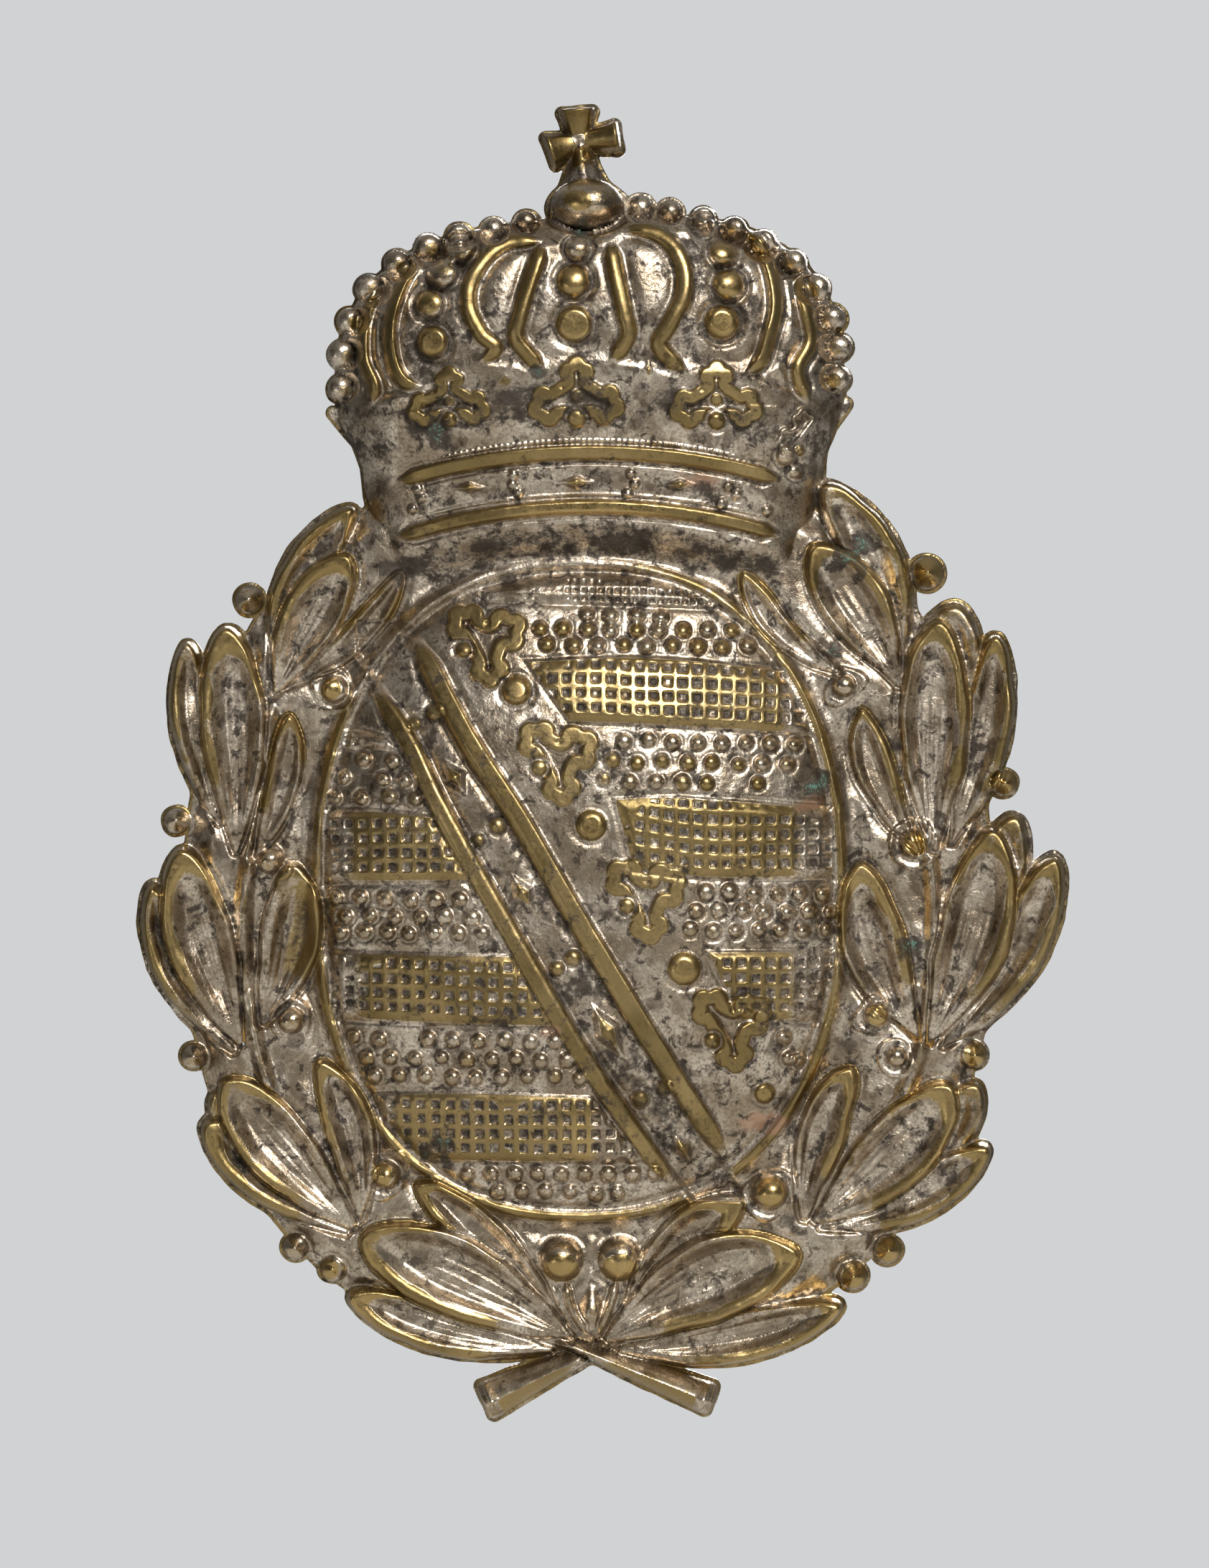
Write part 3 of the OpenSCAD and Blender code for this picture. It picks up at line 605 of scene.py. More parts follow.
# every other strip between them is the cap's cloth, which puffs up and sinks beside the arches
for number, (left, right) in enumerate(zip(EDGES, EDGES[1:])):
    strip = np.vstack([curve(left[-1]), curve(right[-1])[::-1]])
    w = window(strip, 1)
    d = inside(strip, w)
    if number % 2 == 0:
        H[w] += 0.3 * smooth(0.5, 1.8, d) - 0.32 * smooth(-0.1, 0.6, d)
        paint(GRIME_AND_SHADE, w, 0.4 * smooth(0.1, 0.6, d) * (0.4 + noise(1.8, 95, w)))
    else:  # an arch is a hollow band that carries the studs
        H[w] -= 0.4 * smooth(0.1, 1.1, d)
        paint(GRIME_AND_SHADE, w, 0.5 * smooth(0.3, 1, d) * (0.4 + noise(1.8, 94, w)))
for half, height, brass, points in EDGES:
    ridge(points, half, height, brass, flat=0.6, taper=0.12, groove=0.14)
for x, z, r, flat, brass in (
    (-9.4, 47.1, 1, 2, 0.1), (-10.7, 45.4, 1.05, 2, 0.3), (-11.6, 43, 0.95, 2, 0.7),
    (-11.4, 40.2, 1.05, 0.75, 1), (-0.8, 47, 0.75, 2, 0.35), (-1.1, 44.6, 1.08, 2, 1),
    (-1, 41.4, 1.2, 0.62, 1), (8.6, 48.9, 0.8, 2, 0.2), (9.9, 46.8, 0.95, 2, 0.7),
    (10.3, 44.4, 1.05, 2, 0.9), (9.8, 41.6, 1.15, 0.8, 1),
):
    w, far = around((x, z), 2.4)
    # each stud sits in a shallow dip ringed with a painted shadow
    halo = bell(far / r - 1.3, 0.3)
    H[w] -= 0.25 * halo
    paint(GRIME_AND_SHADE, w, 0.75 * halo)
    ball((x, z), r + 0.12, 0.95, brass, flat, worn=(-0.1, 0.1), rubbed_and_sheen=0.45)
for x, z, size, brass in ((-0.85, 36.2, 1, 1), (-10.2, 35.9, 0.86, 0.75), (9.4, 36, 0.97, 0.95)):
    lobes = [(90, 1.65, 1.2), (198, 2.25, 1.4), (344, 2.15, 1.4)]
    lobes = [(turn, out * size, r * size) for turn, out, r in lobes]
    trefoil((x, z), lobes, (x, z - 1.6 * size), 0.7 * size, 0.9 * size, 0.5, brass)
    ball((x, z), 0.5 * size, 0.9, brass, flat=0.7)
trefoil((16, 33.6), ((95, 1, 0.9), (200, 1.3, 0.9)), (15.6, 32.4), 0.4, 0.4, 0.3, 0.1)
ball((14.6, 32), 0.75, 0.9, 0.1, rubbed_and_sheen=0.4)
ball((15.3, 30.9), 0.55, 0.9, 0.1, rubbed_and_sheen=0.4)
lozenge((4.4, 38.1), 90, 0.9, 0.35)
lozenge((-6.1, 37.3), 20, 1, 0.8, 0.1, 0.7)


def arc(z, bow, half=14.2):
    """A line across the circlet that sinks by bow towards its ends."""
    return [[x, z - bow * ((x - 0.3) / 14) ** 2] for x in np.linspace(-half, half, 9)]


ridge(arc(32.15, 1.9), 0.52, 0.45, 1, 0.7, 0.05, 0.15)
ridge(arc(28.2, 2), 0.52, 0.5, 1, 0.6, 0.05, 0.15)
low_crown = bell(Z - 36 + 0.008 * X**2, 2.2) * (np.abs(X) < 18)
paint(GRIME_AND_SHADE, ALL, 0.72 * low_crown * (0.4 + 1.1 * noise(2, 96)))
circlet = bell(Z - 30.2 + 0.011 * X**2, 1.1, 4) * (np.abs(X) < 15)
paint(GRIME_AND_SHADE, ALL, 0.5 * circlet * (0.3 + 1.1 * noise(1.7, 97)))
ridge(arc(33, 1.9, 12), 0.16, 0.16, 0.3, groove=0.05)
for z in (31.2, 29.1):
    ridge(arc(z, 1.9, 13), 0.14, 0.12, 0.2, groove=0.05)
for place in curve(arc(33, 1.9, 12)):
    ball(place, 0.2, 0.5, 0.2)
for x, z, long, wide in ((-0.9, 30, 1.5, 0.55), (6.7, 29.8, 1.3, 0.5), (-8.8, 29.6, 1.3, 0.45)):
    lozenge((x, z), 0, long, wide, 0.6, 0.9)
for x, z in ((-5.5, 30.5), (-5.6, 29.8), (-5.1, 29.3), (-12.3, 28.9), (-13, 28.1), (-12.6, 29.6),
             (3.1, 30.6), (2.9, 29.2), (3.4, 29.9), (10.3, 29.7), (9.8, 28.5), (10.9, 29.1), (13.2, 28)):
    ball((x, z), 0.4, 1, 0.05, rubbed_and_sheen=0.5)

# ---- the shield
rim = bell(shield_in - 0.1, 0.42)
H += 0.5 * rim - 0.2 * bell(shield_in - 0.85, 0.35) * (Z < 23.9)
angle = np.degrees(np.arctan2(Z, X + 0.7))
upper_left = bell(angle - 112, 38)
rim_brass = smooth(0.3, 0.6, rim) * np.clip(1 - upper_left, 0, 1) * (0.5 + 0.8 * noise(6, 90))
paint(BRASS, ALL, rim_brass * (S > 0.5))
# painted shade in the groove inside the rim
paint(GRIME_AND_SHADE, ALL, 0.5 * bell(shield_in - 0.8, 0.3) * (Z < 23.5))

# bars: upper edge, lower edge, where the shine stops, then wear, pitch and solid lower strip
for number, (top, bottom, shine, *rest) in enumerate((
    ((-7.6, 22.2, -4, 23.1, 1, 23.4, 5, 23, 9.3, 21.8),
     (-7.8, 21.5, -3, 21.2, 1, 21.1, 9.5, 20.8), (-99, 99), 0.1, 0.62, 0.1),
    ((-4.7, 16.9, 4.6, 17.2, 16, 16.1), (-1.4, 12.3, 4.6, 12.1, 17, 11.4), (-99, 15.5)),
    ((1.8, 6.8, 7.1, 6.9, 19, 6), (3.2, 1.6, 9.2, 0.9, 19, 0.9), (-99, 16.5)),
    ((8.6, -4.4, 13, -4.4, 19, -4.4), (11.2, -9.6, 14, -9.7, 19, -9.6), (-99, 16)),
    ((-19, 11.8, -17, 11.8, -14.8, 11.2), (-19, 10.4, -17, 10.5, -14.2, 10.4), (99, 99), 0.1, 0.7, 0.1),
    ((-19.5, 5.8, -16, 5.9, -11.2, 5.5), (-19.5, 0.5, -15, 0.6, -8.6, 0.7), (-18.6, 99)),
    ((-19, -4.5, -12, -4.6, -5.4, -4.7), (-19, -9.5, -11, -9.8, -2.3, -10), (-18, 99)),
    ((-16, -15, -8, -14.8, 0.3, -15.1), (-14, -20, -5, -20.1, 4, -20), (-15.5, 1.5)),
)):
    pitted_bar(top, bottom, shine, 20 + 4 * number, *rest)

# rows of studs between the bars: where a row starts and ends, and how brassy it is
for number, (x0, z0, x1, z1, shine) in enumerate((
    (-0.2, 20.3, 7.2, 20.2, 0.2), (-3.6, 19.3, 10.6, 19.2, 0.55), (-3, 18.1, 11.8, 18, 0.6),
    (2.6, 11, 15.2, 10.7, 0.25), (1.8, 9.5, 14.6, 9.2, 0.7), (1.2, 8.1, 12.4, 7.8, 0.6),
    (8.6, -0.1, 17.4, -0.3, 0.25), (7.9, -1.5, 18, -1.6, 0.4), (7.4, -2.9, 17.6, -3, 0.3),
    (-18.6, 9.7, -14.4, 9.6, 0.1), (-18.2, 8.3, -13.4, 8.2, 0.1), (-18.8, 6.9, -12.6, 6.8, 0.1),
    (-18.6, -0.6, -9.4, -0.6, 0.2), (-18, -1.9, -8.6, -1.9, 0.35), (-18.4, -3.1, -7.8, -3.1, 0.3),
    (-17.4, -10.9, -2.4, -11, 0.3), (-16.4, -12.3, -1.6, -12.4, 0.4),
    (-15.8, -13.7, -0.6, -13.7, 0.4), (-9, -21, 5, -21, 0.3), (-6.6, -22.3, 2.2, -22.4, 0.3),
    (14.4, -10.9, 16.6, -11.1, 0.1), (14.8, -12.4, 15.6, -12.5, 0.1),
)):
    dots((x0, z0), (x1, z1), shine, 60 + number)

LOW_RIDGE = (-16.1, 15.1, -13.4, 11.3, -10.5, 5.4, -6.4, -1.8, -0.4, -12.1, 6.3, -21.9)
HIGH_RIDGE = (-12.9, 18.9, -11.3, 15.6, -8.6, 10.6, -5.2, 5.4, -0.4, -2.8, 5.9, -13.1, 10.3, -19.9)
w = window(LOW_RIDGE + HIGH_RIDGE, 1)
between = np.minimum(along(curve(LOW_RIDGE), w)[2], -along(curve(HIGH_RIDGE), w)[2])
H[w] -= 0.5 * smooth(0.2, 0.9, between)
paint(GRIME_AND_SHADE, w, (0.35 + 0.4 * noise(1.3, 99, w)) * smooth(0.2, 0.9, between))
BRASS[w] *= smooth(0.4, 0, between)
ridge(LOW_RIDGE, 0.66, 0.62, 1, 0.84, 0.07, 0.12)
ridge(HIGH_RIDGE, 0.76, 0.7, 1, 0.84, 0.07, 0.12)
for x, z, r in ((-11.3, 13.1, 0.65), (-12.8, 12.3, 0.55), (-6.6, 4.8, 0.65), (-8.1, 3.7, 0.55),
                (-1.1, -4.9, 0.6), (-2.3, -5.7, 0.55), (3.8, -15.3, 0.7), (5.6, -14.5, 0.65)):
    ball((x, z), r, 1.1, 0.75)
for x, z, long, wide in ((-9.8, 8.3, 1.54, 0.84), (-4.8, -0.2, 1.65, 0.84), (1.4, -10.3, 2.42, 0.96),
                         (6.9, -19, 1.43, 0.72)):
    lozenge((x, z), -59, long, wide, 0.85, 1)

CLOVER = (30, 1.65, 1.6), (135, 2, 1.45), (279, 2, 1.35)
for centre, stud, brass in (((-7.6, 18.3), (-9.2, 17.7), 0.7), ((-2.3, 9.6), (-3.6, 9), 1),
                            ((4.1, -0.5), (2.8, -1.1), 1), ((10.4, -10), (9.1, -11), 0.9)):
    trefoil(centre, CLOVER, stud, 0.6, 0.98, 0.45, brass)
for x, z, r in ((-5.3, 14.7, 1.07), (0.2, 4.8, 1.12), (7, -5.7, 1.18), (13, -15, 0.75)):
    ball((x, z), r, 0.75, 1, 0.8, rubbed_and_sheen=0.4)

# ---- age
H += 0.16 * (noise(7, 70) - 0.5) * smooth(0.8, 3, S)
H += 0.1 * (noise(2.1, 71) - 0.5) + 0.05 * (noise(0.8, 72) - 0.5) + 0.022 * (noise(0.4, 73) - 0.5)
H[:] = np.maximum(H, 0) * np.where(S < 0.4, smooth(-0.2, 0.4, S), 1)
# hollows get painted shade mixed with tarnish; what stands proud loses it and wears to bare brass
soft = blur(H, 0.7)
hollow = smooth(0.02, 0.26, soft - H)
proud = smooth(0.06, 0.35, H - soft)
GRIME_AND_SHADE[:] = np.clip(np.maximum(GRIME_AND_SHADE, 0.5 * hollow * (0.4 + noise(2.6, 98))) * (1 - 0.6 * proud), 0, 1)
BRASS[:] = np.clip(np.maximum(BRASS, 0.46 * proud * PALE), 0, 1)
H[:] = np.where(H > TOP, TOP + (H - TOP) * ABOVE_TOP, H)
for x, z, r in ((19.8, 24.8, 1.7), (17.1, 7.9, 1.5), (-10.9, -19.1, 1.4), (-11.2, 33.6, 1.3),
                (18.2, 18.1, 0.9), (23.6, -4, 1.3), (-16.5, 45.5, 1), (-0.5, 48.4, 0.8), (-3.6, 38, 0.8)):
    w, reach = blot(x, z, r, r, r * 2, 1.1, 0.9, 80)
    paint(GREEN, w, 0.62 * smooth(1, 0.2, reach))
    paint(GRIME_AND_SHADE, w, 0.9 * smooth(1.35, 0.5, reach))
for x, z, rx, rz in ((8.6, 30.1, 2.2, 0.7), (-2.7, -10.2, 1.2, 0.6), (12.8, -17.2, 1.8, 1),
                     (16.6, 6.4, 1.4, 0.8)):
    w, reach = blot(x, z, rx, rz, 4, 0.9, 0.8, 81)
    paint(COPPER, w, smooth(1, 0.6, reach))
# where handling has polished the crests, painted lighter there: real polish and a painted highlight
for x, z, rx, rz in ((4, 15.2, 5.5, 1.8), (0.6, -18.4, 3.2, 2.2), (15.5, -27.2, 2.4, 2.8),
                     (18.8, -31.4, 2, 2), (-16.5, -30.2, 2.2, 2.2), (-15.4, -26.6, 2.6, 2.4),
                     (0, 28, 9, 1.2), (24.5, -19, 3, 3)):
    w, reach = blot(x, z, rx, rz, 6, 0.5, 1.1, 83)
    paint(RUBBED_AND_SHEEN, w, 0.75 * smooth(1.1, 0.3, reach) * smooth(0.3, 0.6, BRASS[w]))
# less grime and more polish towards the bottom, so the lower leaves are lighter
lower = smooth(-19, -27, Z)
GRIME_AND_SHADE *= 1 - 0.45 * lower
paint(RUBBED_AND_SHEEN, ALL, 0.45 * lower * noise(2.6, 85))
cut_rim = smooth(0.42, 0.1, S)
paint(BRASS, ALL, 0.75 * cut_rim * (0.4 + noise(3, 84)))
paint(GRIME_AND_SHADE, ALL, 0.42 * cut_rim)
field = smooth(0.2, 1.2, shield_in) * (0.1 + 0.3 * noise(5, 92))
GRIME_AND_SHADE[:] = np.where(Z < 24, np.maximum(GRIME_AND_SHADE, field), GRIME_AND_SHADE)
# painted shade in the concave valley under the crown, broken up like blotchy tarnish
dark_band = bell(Z - 25.6 + 0.009 * X**2, 1.5) * (np.abs(X) < 15.5)
paint(GRIME_AND_SHADE, ALL, 0.95 * dark_band * (0.45 + 0.8 * noise(1.5, 82)))

# ---- the sheet's mesh
BACK = np.minimum(blur(H, 0.28), H + 0.25)  # height of the hollow back


def cut_cells():
    """The cells of the grid that lie inside the cut edge."""
    cell = S[:-1, :-1] + S[1:, :-1] + S[:-1, 1:] + S[1:, 1:] > 0
    cell[[0, -1], :] = False
    cell[:, [0, -1]] = False
    return cell


def faces_of(cell):
    """A quad of point numbers for each cell."""
    j, i = np.nonzero(cell)
    first, row = j * X.shape[1] + i, X.shape[1]
    return np.stack([first, first + 1, first + row + 1, first + row], 1)


def coarse_faces(cell):
    """Faces for the back: whole blocks of two by two cells become one face, the rest stay fine."""
    rows2, cols2 = cell.shape[0] // 2, cell.shape[1] // 2
    blocks = cell[: rows2 * 2, : cols2 * 2].reshape(rows2, 2, cols2, 2).all((1, 3))
    inner = blocks.copy()
    inner[[0, -1], :] = False
    inner[:, [0, -1]] = False
    for dj in (-1, 0, 1):
        for di in (-1, 0, 1):
            inner &= np.roll(blocks, (dj, di), (0, 1))
    j, i = np.nonzero(inner)
    corners = []
    # a block keeps the point in the middle of a side only where its neighbour stays fine
    for dj, di in ((-1, -1), (-1, 0), (-1, 1), (0, 1), (1, 1), (1, 0), (1, -1), (0, -1)):
        point = (2 * j + 1 + dj) * X.shape[1] + 2 * i + 1 + di
        drop = inner[j + dj, i + di] & (dj * di == 0)
        corners.append(np.where(drop, -1, point))
    fine = cell.copy()
    fine[: rows2 * 2, : cols2 * 2] &= ~np.repeat(np.repeat(inner, 2, 0), 2, 1)
    return np.stack(corners, 1), fine


def linked(name, data):
    """A new object in the scene."""
    obj = bpy.data.objects.new(name, data)
    bpy.context.scene.collection.objects.link(obj)
    return obj


def mesh_from(name, points, groups):
    """A mesh from points in millimetres and groups of faces, and which points it keeps.

    -1 in a face leaves a corner out, and points that no face uses are left out.
    """
    totals = np.concatenate([(g >= 0).sum(1) for g in groups])
    used, loops = np.unique(np.concatenate([g[g >= 0] for g in groups]), return_inverse=True)
    mesh = bpy.data.meshes.new(name)
    mesh.vertices.add(len(used))
    mesh.vertices.foreach_set("co", (points[used] * MM).astype(np.float32).ravel())
    mesh.loops.add(len(loops))
    mesh.loops.foreach_set("vertex_index", loops.astype(np.int32))
    mesh.polygons.add(len(totals))
    mesh.polygons.foreach_set("loop_start", (np.cumsum(totals) - totals).astype(np.int32))
    mesh.polygons.foreach_set("use_smooth", np.ones(len(totals), bool))
    mesh.update(calc_edges=True)
    mesh.validate()
    return linked(name, mesh), used


def struck_sheet():
    """The sheet: a fine front, a coarser back, and a narrow rounded edge between them."""
    cell = cut_cells()
    front = faces_of(cell)
    ring, fine = coarse_faces(cell)
    # border edges are the sides that only one cell has
    sides = np.concatenate([front[:, [k, (k + 1) % 4]] for k in range(4)])
    key = np.sort(sides, 1) @ np.array([X.size, 1])
    _, first, count = np.unique(key, return_index=True, return_counts=True)
    border = sides[first[count == 1]]
    # the border's points move to where the cut edge runs
    gz, gx = np.gradient(S, STEP)
    steep = np.maximum(np.hypot(gx, gz), 0.3)
    shift = np.zeros(X.size)
    shift[border] = np.clip(S / steep, -STEP, STEP).ravel()[border]
    layers = []
    for height, out in ((H + SHEET, 0), (BACK, 0), (H + SHEET * 0.72, 0.06), (H + SHEET * 0.2, 0.05)):
        far = (shift.reshape(X.shape) + out) / steep
        layers.append(np.stack([X - gx * far, -height, Z - DRAWING_Z - gz * far], 2).reshape(-1, 3))
    e0, e1 = border.T

    def strip(a, b):
        """Faces round the border from one layer to another."""
        a, b = a * X.size, b * X.size
        return np.stack([a + e0, b + e0, b + e1, a + e1], 1)

    back = [np.where(g >= 0, g + X.size, -1)[:, ::-1] for g in (ring, faces_of(fine))]
    groups = [front, *back, strip(0, 2), strip(2, 3), strip(3, 1)]
    obj, used = mesh_from("struck_sheet", np.concatenate(layers), groups)
    # the painted channels go on the front; the back has worn brass with grime in its hollows
    damp = smooth(0.05, 0.4, blur(H, 1.2) - H)
    none = np.zeros_like(X)
    finish = [BRASS, GRIME_AND_SHADE, GREEN, COPPER], [none + 0.6, 0.12 + 0.3 * (1 - damp), none, none]
    edge = [none + 0.35, none + 0.3, none, none]
    finish = np.concatenate([np.stack(part, 2).reshape(-1, 4) for part in (*finish, edge, edge)])
    layer = obj.data.color_attributes.new("finish", "FLOAT_COLOR", "POINT")
    layer.data.foreach_set("color", finish[used].astype(np.float32).ravel())
    rubbed_and_sheen = np.concatenate([RUBBED_AND_SHEEN.ravel(), np.zeros(3 * X.size)])
    layer = obj.data.attributes.new("rubbed_and_sheen", "FLOAT", "POINT")
    layer.data.foreach_set("value", rubbed_and_sheen[used].astype(np.float32))
    return obj


# ---- materials
def fill(node, inputs):
    """Sets a node's inputs, each to a value or linked to another node's output."""
    for key, value in inputs.items():
        if isinstance(value, Value):
            value = value.socket
        if isinstance(value, bpy.types.NodeSocket):
            node.id_data.links.new(value, node.inputs[key])
        else:
            node.inputs[key].default_value = value


def add(tree, kind, inputs=None, **settings):
    node = tree.nodes.new(kind)
    for key, value in settings.items():
        setattr(node, key, value)
    fill(node, inputs or {})
    return node


def operation(kind, swapped=False):
    """A method that does one sum with a Math node."""

    def method(self, other):
        a, b = (other, self) if swapped else (self, other)
        return Value(add(self.tree, "ShaderNodeMath", {0: a, 1: b}, operation=kind).outputs[0])

    return method


class Value:
    """A number in a node tree. Sums with it become Math nodes."""

    def __init__(self, socket):
        self.socket = socket
        self.tree = socket.id_data

    __add__, __radd__ = operation("ADD"), operation("ADD", True)
    __sub__, __rsub__ = operation("SUBTRACT"), operation("SUBTRACT", True)
    __mul__, larger = operation("MULTIPLY"), operation("MAXIMUM")

    def step(self, low, high, top=1):
        """A soft step from 0 at low to top at high."""
        inputs = {"Value": self, "From Min": low, "From Max": high, "To Max": top}
        node = add(self.tree, "ShaderNodeMapRange", inputs, interpolation_type="SMOOTHSTEP")
        return Value(node.outputs["Result"])

    def mix(self, a, b):
        """The colour a where this value is 0, b where it's 1."""
        return add(self.tree, "ShaderNodeMix", {0: self, 6: a, 7: b}, data_type="RGBA").outputs[2]


def cloud(tree, scale, detail=3, rough=0.6, distortion=0):
    inputs = {"Vector": add(tree, "ShaderNodeTexCoord").outputs["Object"], "Scale": scale,
              "Detail": detail, "Roughness": rough, "Distortion": distortion}
    return Value(add(tree, "ShaderNodeTexNoise", inputs).outputs["Fac"])


def rgb(r, g, b):
    """A colour as it's seen on a screen, turned into the shader's own scale."""
    return tuple(((c / 255 + 0.055) / 1.055) ** 2.4 for c in (r, g, b)) + (1,)


def silvered_brass(tree):
    """Worn silvering over brass: the painted channels broken up by noise."""
    painted = add(tree, "ShaderNodeAttribute", attribute_name="finish").outputs
    parts = add(tree, "ShaderNodeSeparateColor", {"Color": painted["Color"]}).outputs
    brass, grime_and_shade, green, copper = (Value(part) for part in (*parts, painted["Alpha"]))
    rubbed_and_sheen = Value(add(tree, "ShaderNodeAttribute", attribute_name="rubbed_and_sheen").outputs["Fac"])
    patch, lumps, blots = cloud(tree, 110, 2), cloud(tree, 330, 3, 0.6, 0.4), cloud(tree, 640, 2, 0.5)
    spots, grain = cloud(tree, 950, 4, 0.7, 0.4), cloud(tree, 4200, 3, 0.7)
    bare = (brass + (spots - 0.5) * 0.7 + (grain - 0.5) * 0.45).step(0.36, 0.68)
    silver = lumps.step(0.38, 0.62).mix(rgb(162, 146, 124), rgb(218, 204, 184))
    silver = (grain.step(0.45, 0.62) * 0.55).mix(silver, rgb(116, 100, 84))
    silver = (blots.step(0.56, 0.66) * 0.6).mix(silver, rgb(92, 78, 64))
    silver = (spots.step(0.54, 0.64) * 0.8).mix(silver, rgb(66, 56, 47))
    # polish lightens the silver and the brass: real polish, and a painted sheen
    silver = (rubbed_and_sheen * 0.6).mix(silver, rgb(208, 192, 168))
    gold = patch.step(0.4, 0.6).mix(rgb(162, 140, 96), rgb(136, 116, 75))
    gold = (grain.step(0.5, 0.7) * 0.4).mix(gold, rgb(112, 92, 54))
    gold = (spots.step(0.58, 0.68) * 0.6).mix(gold, rgb(80, 64, 42))
    gold = (rubbed_and_sheen * 0.7).mix(gold, rgb(202, 172, 114))
    metal = (copper * 0.7).mix(bare.mix(silver, gold), rgb(190, 150, 122))
    # tarnish and painted shade darken the metal towards dark brown
    tarnish_and_shade = grime_and_shade + (lumps - 0.5) * 0.8 + (grain - 0.5) * 0.6 + (spots - 0.5) * 2.2
    tarnish_and_shade = tarnish_and_shade.step(0.28, 0.85) * (1 - rubbed_and_sheen * 0.75)
    scale = (green + (grain - 0.5) * 1.6 + (spots - 0.5) * 1.2).step(0.6, 0.85)
    verdigris = grain.mix(rgb(34, 50, 44), rgb(128, 170, 150))
    colour = (scale * 0.85).mix((tarnish_and_shade * 0.9).mix(metal, rgb(52, 43, 34)), verdigris)
    dull = tarnish_and_shade.larger(scale)
    rough = 0.38 + (grain - 0.5) * 0.4 - (1 - bare) * 0.04 - rubbed_and_sheen * 0.13 + dull * 0.25
    pits = (grain * 0.4 + spots * 0.6) * (1 - bare * 0.65)
    return colour, rough, 1 - dull * 0.55, pits, 0.4, 0.2 * MM


def plain_metal(tree, light, dark, rough, scale=900, strength=0.15):
    """Bare metal with tarnish, fine pitting and uneven gloss."""
    lumps, grain = cloud(tree, scale, 4, 0.65, 0.5), cloud(tree, scale * 5, 3)
    colour = (grain.step(0.52, 0.72) * 0.5).mix(lumps.step(0.4, 0.62).mix(light, dark), dark)
    return colour, rough + grain * 0.25, 1, grain, strength, 0.1 * MM


def leather(tree):
    where = add(tree, "ShaderNodeTexCoord").outputs["Object"]
    pores = Value(add(tree, "ShaderNodeTexVoronoi", {"Vector": where, "Scale": 2200}).outputs["Distance"])
    lumps, grain = cloud(tree, 500, 4), cloud(tree, 5000, 3)
    hide = lumps.step(0.35, 0.7).mix(rgb(92, 60, 38), rgb(58, 36, 24))
    colour = pores.step(0.1, 0.45).mix(rgb(36, 24, 17), hide)
    return colour, 0.6 + grain * 0.3, 0, pores + grain * 0.4, 0.5, 0.15 * MM


def new_material(name):
    """A new material and its Principled shader."""
    material = bpy.data.materials.new(name)
    material.use_nodes = True
    return material, material.node_tree.nodes["Principled BSDF"]


def finish_for(name):
    """A material by its recipe, which gives its colour, roughness, metallic and bump."""
    material, shader = new_material(name)
    tree = material.node_tree
    recipe, *settings = RECIPES[name]
    colour, rough, metallic, height, strength, depth = recipe(tree, *settings)
    bump = add(tree, "ShaderNodeBump", {"Height": height, "Strength": strength, "Distance": depth})
    normal = bump.outputs[0]
    fill(shader, {"Base Color": colour, "Roughness": rough, "Metallic": metallic, "Normal": normal})
    return material


RECIPES = {
    "worn_silvered_brass": (silvered_brass,),
    "post_brass": (plain_metal, rgb(190, 152, 84), rgb(128, 96, 50), 0.28),
    "soft_solder": (plain_metal, rgb(168, 168, 164), rgb(104, 102, 98), 0.38, 700, 0.4),
    "dark_leather": (leather,),
    "washer_brass": (plain_metal, rgb(204, 166, 96), rgb(150, 116, 62), 0.25),
    "nut_brass": (plain_metal, rgb(198, 158, 88), rgb(138, 104, 54), 0.27),
}
FINISH = {name: finish_for(name) for name in RECIPES}


def place_piece(obj, body, node, slot):
    obj.data.materials.append(FINISH[slot])
    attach(obj, body)
    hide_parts(node)


place_piece(struck_sheet(), "badge", "face_stamping", "worn_silvered_brass")

# ---- posts, washers and nuts
ROUND = 72  # points round a turned part
THETA = np.arange(ROUND) / ROUND * 2 * math.pi
FOOT_T, COLLAR_R, COLLAR_L = 0.5, 1.8, 0.35
SHANK_R, THREAD_R, CAP_T, PITCH, BORE_R = 1.5, 1.3, 2, 0.5, 1.36


def size_of(node):
    """The lowest and highest corner of a CAD node, in millimetres."""
    return [np.round(np.array(corner) / MM, 3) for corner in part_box(node)]


(_, SEAT_Y, _), (LEATHER_R, WASHER_Y, _) = size_of("upper_leather_washer")
_, (WASHER_R, NUT_Y, _) = size_of("upper_washer")
_, (NUT_HALF, NUT_END, _) = size_of("upper_nut")
_, (FOOT_R, POST_END, _) = size_of("upper_post")
NUT_T = NUT_END - NUT_Y
NUT_GAP = 0.02  # keeps the turning nut a hair clear of its washer


def turned_piece(name, place, rings, closed):
    """Rings of points round +Y at a post. Each has a radius and a height, which may change round it."""
    radii, heights = (np.array([ring[k] + 0 * THETA for ring in rings]) for k in (0, 1))
    x = place[0] + radii * np.cos(THETA)
    z = place[1] + radii * np.sin(THETA)
    points = np.stack([x, heights, z], 2).reshape(-1, 3)
    count = len(rings)
    j, i = np.divmod(np.arange((count if closed else count - 1) * ROUND), ROUND)
    k, n = (j + 1) % count, (i + 1) % ROUND
    groups = [np.stack([j * ROUND + i, k * ROUND + i, k * ROUND + n, j * ROUND + n], 1)]
    if not closed:
        groups.append(np.arange(ROUND)[None, :])
        groups.append(((count - 1) * ROUND + np.arange(ROUND))[None, ::-1])
    return mesh_from(name, points, groups)[0]


